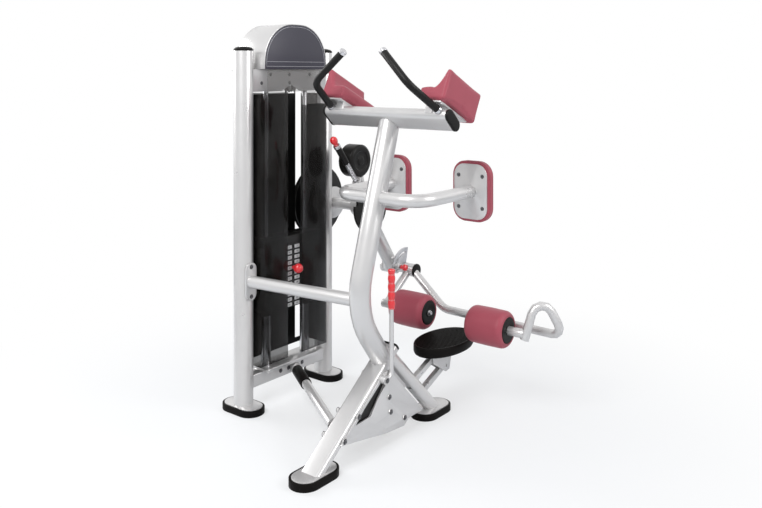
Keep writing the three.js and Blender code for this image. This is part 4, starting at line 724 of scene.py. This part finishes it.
add_piece("selector_knob", turned([(0, 50.4)] + ball, pin_spot, (1, 0, 0), 40), RED, "selector",
          angle=50)
print("pins done")

# %% [markdown]
# The lever's handle is a red sleeve with a swelling for each finger, which a turned profile with a
# gentle wave gives.

# %% Finger grip on the platform lever
wave = [(13.9 - 1.1 * math.cos(k / 48 * math.pi * 9), 549 + k * 3.15) for k in range(49)]
handle = [(9.2, 546.5), (12.6, 546.5), (13.4, 548)] + wave + [(11, 704.5), (0, 706)]
add_piece("lever_handle", turned(handle, at(722.4, 131, 0), (0, 0, 1), 32), RED, "lever_unit",
          angle=60)

# %% [markdown]
# The foot platform is an oval tread with raised ribs. Each rib is as long as the oval is wide at that
# place, which is a rule, so Geometry Nodes make the ribs: a line of points, one bar on each, scaled by
# the half-width of the oval there.

# %% Tread and ribs


def oval(half_length, half_width, z, steps=72):
    return [at(STAND + half_width * math.cos(a), TREAD_DEPTH + half_length * math.sin(a), z) for a in
            (2 * math.pi * k / steps for k in range(steps))]


tread_rings = [(-14, 258), (-8, 258.4), (-4, 261), (0, 270), (0, 294), (-1.5, 298), (-4, 300), (-9, 300),
               (-10.5, 298.6), (-10.6, 297)]
tread = loft([oval(180 + grow, 108 + grow, z) for grow, z in tread_rings])
add_piece("tread_body", tread, RUBBER, "foot_platform", ["platform_tread"], angle=45)


def rib_tree(material):
    tree = bpy.data.node_groups.new("oval_ribs", "GeometryNodeTree")
    face = tree.interface
    face.new_socket("Geometry", in_out="INPUT", socket_type="NodeSocketGeometry")
    for name in ("Half length", "Half width", "Rib width", "Rib height"):
        face.new_socket(name, in_out="INPUT", socket_type="NodeSocketFloat")
    face.new_socket("Ribs", in_out="INPUT", socket_type="NodeSocketInt")
    face.new_socket("Geometry", in_out="OUTPUT", socket_type="NodeSocketGeometry")
    add = tree.nodes.new
    link = tree.links.new
    source = add("NodeGroupInput")
    result = add("NodeGroupOutput")
    line = add("GeometryNodeMeshLine")
    line.mode = "END_POINTS"
    start = add("ShaderNodeCombineXYZ")
    end = add("ShaderNodeCombineXYZ")
    near = add("ShaderNodeMath")
    near.operation = "MULTIPLY"
    near.inputs[1].default_value = -0.90
    far = add("ShaderNodeMath")
    far.operation = "MULTIPLY"
    far.inputs[1].default_value = 0.90
    link(source.outputs["Half length"], near.inputs[0])
    link(source.outputs["Half length"], far.inputs[0])
    link(near.outputs[0], start.inputs["Y"])
    link(far.outputs[0], end.inputs["Y"])
    link(start.outputs[0], line.inputs["Start Location"])
    link(end.outputs[0], line.inputs["Offset"])
    link(source.outputs["Ribs"], line.inputs["Count"])
    place = add("GeometryNodeInputPosition")
    parts = add("ShaderNodeSeparateXYZ")
    link(place.outputs[0], parts.inputs[0])
    share = add("ShaderNodeMath")
    share.operation = "DIVIDE"
    link(parts.outputs["Y"], share.inputs[0])
    link(source.outputs["Half length"], share.inputs[1])
    square = add("ShaderNodeMath")
    square.operation = "POWER"
    square.inputs[1].default_value = 2
    absolute = add("ShaderNodeMath")
    absolute.operation = "ABSOLUTE"
    link(share.outputs[0], absolute.inputs[0])
    link(absolute.outputs[0], square.inputs[0])
    rest = add("ShaderNodeMath")
    rest.operation = "SUBTRACT"
    rest.inputs[0].default_value = 1
    link(square.outputs[0], rest.inputs[1])
    root = add("ShaderNodeMath")
    root.operation = "SQRT"
    link(rest.outputs[0], root.inputs[0])
    wide = add("ShaderNodeMath")
    wide.operation = "MULTIPLY"
    link(root.outputs[0], wide.inputs[0])
    link(source.outputs["Half width"], wide.inputs[1])
    scale = add("ShaderNodeCombineXYZ")
    scale.inputs["Y"].default_value = 1
    scale.inputs["Z"].default_value = 1
    link(wide.outputs[0], scale.inputs["X"])
    bar_size = add("ShaderNodeCombineXYZ")
    bar_size.inputs["X"].default_value = 1.86
    link(source.outputs["Rib width"], bar_size.inputs["Y"])
    link(source.outputs["Rib height"], bar_size.inputs["Z"])
    bar = add("GeometryNodeMeshCube")
    link(bar_size.outputs[0], bar.inputs["Size"])
    spread = add("GeometryNodeInstanceOnPoints")
    link(line.outputs[0], spread.inputs["Points"])
    link(bar.outputs["Mesh"], spread.inputs["Instance"])
    link(scale.outputs[0], spread.inputs["Scale"])
    real = add("GeometryNodeRealizeInstances")
    paint = add("GeometryNodeSetMaterial")
    paint.inputs["Material"].default_value = material
    link(spread.outputs[0], real.inputs[0])
    link(real.outputs[0], paint.inputs["Geometry"])
    link(paint.outputs[0], result.inputs[0])
    return tree


def run_tree(name, tree, values, seed_points=((0, 0, 0),)):
    mesh = bpy.data.meshes.new(name)
    mesh.from_pydata([tuple(p) for p in seed_points], [], [])
    holder = bpy.data.objects.new(name, mesh)
    bpy.context.scene.collection.objects.link(holder)
    modifier = holder.modifiers.new(name, "NODES")
    modifier.node_group = tree
    for item in tree.interface.items_tree:
        if item.in_out == "INPUT" and item.name in values:
            modifier[item.identifier] = values[item.name]
    graph = bpy.context.evaluated_depsgraph_get()
    result = bpy.data.meshes.new_from_object(holder.evaluated_get(graph))
    bpy.data.objects.remove(holder)
    return result


rib_values = {"Half length": 0.170, "Half width": 0.1045, "Rib width": 0.0055, "Rib height": 0.003,
              "Ribs": 25}
ribs = run_tree("tread_ribs", rib_tree(RUBBER), rib_values)
ribs.transform(Matrix.Translation(at(STAND, TREAD_DEPTH, 298.4)))
add_piece("tread_ribs", ribs, RUBBER, "foot_platform", angle=20)
print("ribs:", len(ribs.polygons), "faces")

# %% [markdown]
# Bolts. The same button head with a hexagonal socket holds the gusset plates, the pad plates, the
# tie bar's flange and the head frame. One node tree puts a head on every point of a small point
# list, turned to face outwards.

# %% Button head bolts


def bolt_tree(head, socket_shade):
    tree = bpy.data.node_groups.new("button_bolts", "GeometryNodeTree")
    face = tree.interface
    face.new_socket("Geometry", in_out="INPUT", socket_type="NodeSocketGeometry")
    for name in ("Radius", "Height"):
        face.new_socket(name, in_out="INPUT", socket_type="NodeSocketFloat")
    face.new_socket("Facing", in_out="INPUT", socket_type="NodeSocketVector")
    face.new_socket("Geometry", in_out="OUTPUT", socket_type="NodeSocketGeometry")
    add = tree.nodes.new
    link = tree.links.new
    source = add("NodeGroupInput")
    result = add("NodeGroupOutput")
    joined = add("GeometryNodeJoinGeometry")
    # The second look is painted shade: a thin black disc just wider than the head lies under its rim, and a
    # black hexagon on top stands for the socket hole.
    for sides, wide, low_share, high_share, material in (
            (28, 1.22, 0.0, 0.12, socket_shade), (28, 1.0, 0.0, 0.55, head), (28, 0.82, 0.5, 0.85, head),
            (28, 0.55, 0.8, 1.0, head),
            (6, 0.40, 0.9, 1.04, socket_shade)):
        disc = add("GeometryNodeMeshCylinder")
        disc.inputs["Vertices"].default_value = sides
        radius = add("ShaderNodeMath")
        radius.operation = "MULTIPLY"
        radius.inputs[1].default_value = wide
        link(source.outputs["Radius"], radius.inputs[0])
        link(radius.outputs[0], disc.inputs["Radius"])
        depth = add("ShaderNodeMath")
        depth.operation = "MULTIPLY"
        depth.inputs[1].default_value = high_share - low_share
        link(source.outputs["Height"], depth.inputs[0])
        link(depth.outputs[0], disc.inputs["Depth"])
        lift = add("ShaderNodeMath")
        lift.operation = "MULTIPLY"
        lift.inputs[1].default_value = (high_share + low_share) / 2
        link(source.outputs["Height"], lift.inputs[0])
        raise_by = add("ShaderNodeCombineXYZ")
        link(lift.outputs[0], raise_by.inputs["Z"])
        move = add("GeometryNodeTransform")
        link(disc.outputs["Mesh"], move.inputs["Geometry"])
        link(raise_by.outputs[0], move.inputs["Translation"])
        paint = add("GeometryNodeSetMaterial")
        paint.inputs["Material"].default_value = material
        link(move.outputs[0], paint.inputs["Geometry"])
        link(paint.outputs[0], joined.inputs[0])
    points = add("GeometryNodeMeshToPoints")
    link(source.outputs["Geometry"], points.inputs["Mesh"])
    aim = add("FunctionNodeAlignRotationToVector")
    aim.axis = "Z"
    link(source.outputs["Facing"], aim.inputs["Vector"])
    spread = add("GeometryNodeInstanceOnPoints")
    link(points.outputs[0], spread.inputs["Points"])
    link(joined.outputs[0], spread.inputs["Instance"])
    link(aim.outputs[0], spread.inputs["Rotation"])
    real = add("GeometryNodeRealizeInstances")
    link(spread.outputs[0], real.inputs[0])
    link(real.outputs[0], result.inputs[0])
    return tree


# Bolt heads are screw steel. The black of the label print paints the shade in their sockets and under their
# rims.
BOLTS = bolt_tree(SCREW_STEEL, INK_AND_SHADE)


def bolts(name, places, facing, radius, height, body="frame"):
    mesh = run_tree(name, BOLTS, {"Radius": radius * MM, "Height": height * MM, "Facing": facing},
                    [at(*p) for p in places])
    looks = [material or SCREW_STEEL for material in mesh.materials]
    look_of_face = [face.material_index for face in mesh.polygons]
    piece = add_piece(name, mesh, SCREW_STEEL, body, angle=25, outward=False)
    piece.data.materials.clear()
    for material in looks:
        piece.data.materials.append(material)
    piece.data.polygons.foreach_set("material_index", look_of_face)
    return piece


plate_corners = [(dx, dz) for dx in (-58, 58) for dz in (-67, 67)]
for side, x in PAD_PLACES:
    bolts("pad_screws_" + side, [(x + dx, 477.7, PAD_HEIGHT + dz) for dx, dz in plate_corners],
          (0, -1, 0), 7, 3.6)
gusset_places = [(127, 194), (136, 132), (229, 78), (-63, 178), (-145, 113)]
bolts("gusset_bolts_right", [(717.3, y, z) for y, z in gusset_places], (1, 0, 0), 8.5, 4)
bolts("gusset_bolts_left", [(608.7, y, z) for y, z in gusset_places], (-1, 0, 0), 8.5, 4)
bolts("tie_bolts", [(51.3, 0, z) for z in (508, 638)], (1, 0, 0), 8, 5)
head_places = [(75, 1440), (130, 1478), (250, 1440), (250, 1478), (385, 1478), (445, 1440)]
bolts("head_bolts", [(36, y, z) for y, z in head_places], (1, 0, 0), 6.5, 3.5)
bolts("base_bolts", [(30, 200, 122), (30, 250, 122), (30, 340, 122)], (1, 0, 0), 8, 4.5)
bolts("lever_bolt", [(738.4, 86, 276)], (1, 0, 0), 8, 3)
# A thin black sheet inside each gusset plate, behind its cutout, is painted shade: it darkens what is seen
# through the cutout.
for side, x in (("right", STAND + 37), ("left", STAND - 38)):
    shade_sheet = [[at(x + out, y, z) for y, z in
               ((60, 262), (112, 258), (64, 206), (8, 146), (-86, 142), (-34, 196))]
              for out in (0, 1)]
    add_piece("gusset_painted_shade_" + side, loft(shade_sheet), BLACK_PAINT, "frame")
print("bolts placed")

# %% [markdown]
# Number labels on the plates. Each plate of a stack carries a pale strip with its step number, so
# that the pin can be set without counting. Text is made a mesh before it is put in place.

# %% Plate labels


def number_mesh(text, size):
    curve = bpy.data.curves.new("number_" + text, "FONT")
    curve.body = text
    curve.size = size * MM
    curve.align_x = "CENTER"
    curve.align_y = "CENTER"
    curve.extrude = 0.0002
    holder = bpy.data.objects.new("number_" + text, curve)
    bpy.context.scene.collection.objects.link(holder)
    graph = bpy.context.evaluated_depsgraph_get()
    mesh = bpy.data.meshes.new_from_object(holder.evaluated_get(graph))
    bpy.data.objects.remove(holder)
    return mesh


def label_strip(y, z):
    loops = []
    for inset, out in ((0, 0.05), (0, 0.5), (0.6, 0.8)):
        edge = rounded_outline(33 - 2 * inset, 16 - 2 * inset, 3, 4)
        loops.append([at(50 + out, y + u, z + v) for u, v in edge])
    return loft(loops)


STACK_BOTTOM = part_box("weight_plates_resting")[0].z / MM
for group, body, rows in (("resting", "frame", range(7)), ("lifted", "lifted_stack", range(7, 12))):
    strips = []
    digits = bmesh.new()
    for row in rows:
        z = STACK_BOTTOM + row * 24 + 11.7
        for dy in (-25, 25):
            strips.append(label_strip(STACK_DEPTH + dy, z))
            word = number_mesh(str((12 - row) * 5), 11)
            turn = Matrix(((0, 0, 1), (1, 0, 0), (0, 1, 0))).to_4x4()
            word.transform(Matrix.Translation(at(50.95, STACK_DEPTH + dy, z)) @ turn)
            digits.from_mesh(word)
    add_piece("plate_labels_" + group, gather(*strips), LABEL, body, angle=30)
    mesh = bpy.data.meshes.new("plate_numbers_" + group)
    digits.to_mesh(mesh)
    digits.free()
    add_piece("plate_numbers_" + group, mesh, INK_AND_SHADE, body, angle=30, outward=False)
print("labels on", 12, "plates")

# %% [markdown]
# The header's display is left plain, apart from a pale hairline border and a lower band, as a blank
# instruction panel has.

# %% Plain border on the header


HEADER_CORNER = 172


def arch(inset, x, steps=18):
    near, far, corner = 64.3 + inset, 459.7 - inset, HEADER_CORNER - inset
    top, low_edge = 1704.7 - inset, 1506 + inset
    points = [at(x, near, low_edge), at(x, far, low_edge)]
    for k in range(steps + 1):
        a = math.pi / 2 * k / steps
        points.append(at(x, far - corner + corner * math.cos(a), top - corner + corner * math.sin(a)))
    for k in range(steps + 1):
        a = math.pi / 2 + math.pi / 2 * k / steps
        points.append(at(x, near + corner + corner * math.cos(a), top - corner + corner * math.sin(a)))
    return points


sheet_corners = ((88, 1400), (88, 1501), (436, 1501), (436, 1340), (305, 1340), (305, 1400))
sheet = [[at(x, y, z) for y, z in sheet_corners] for x in (57.6, 60.4)]
add_piece("cover_upper_sheet", loft(sheet), HAZE, "frame")
add_piece("header_border", tube(arch(9, 70.1), 0.8 * MM, 6, closed=True), PALE_PRINT, "frame",
          angle=80)
band = [at(70.2, y, 1536) for y in np.linspace(76, 448, 12)]
add_piece("header_band", tube(band, 0.7 * MM, 6), PALE_PRINT, "frame", angle=80)

# %% Count the pieces
print(made_count, "pieces made")
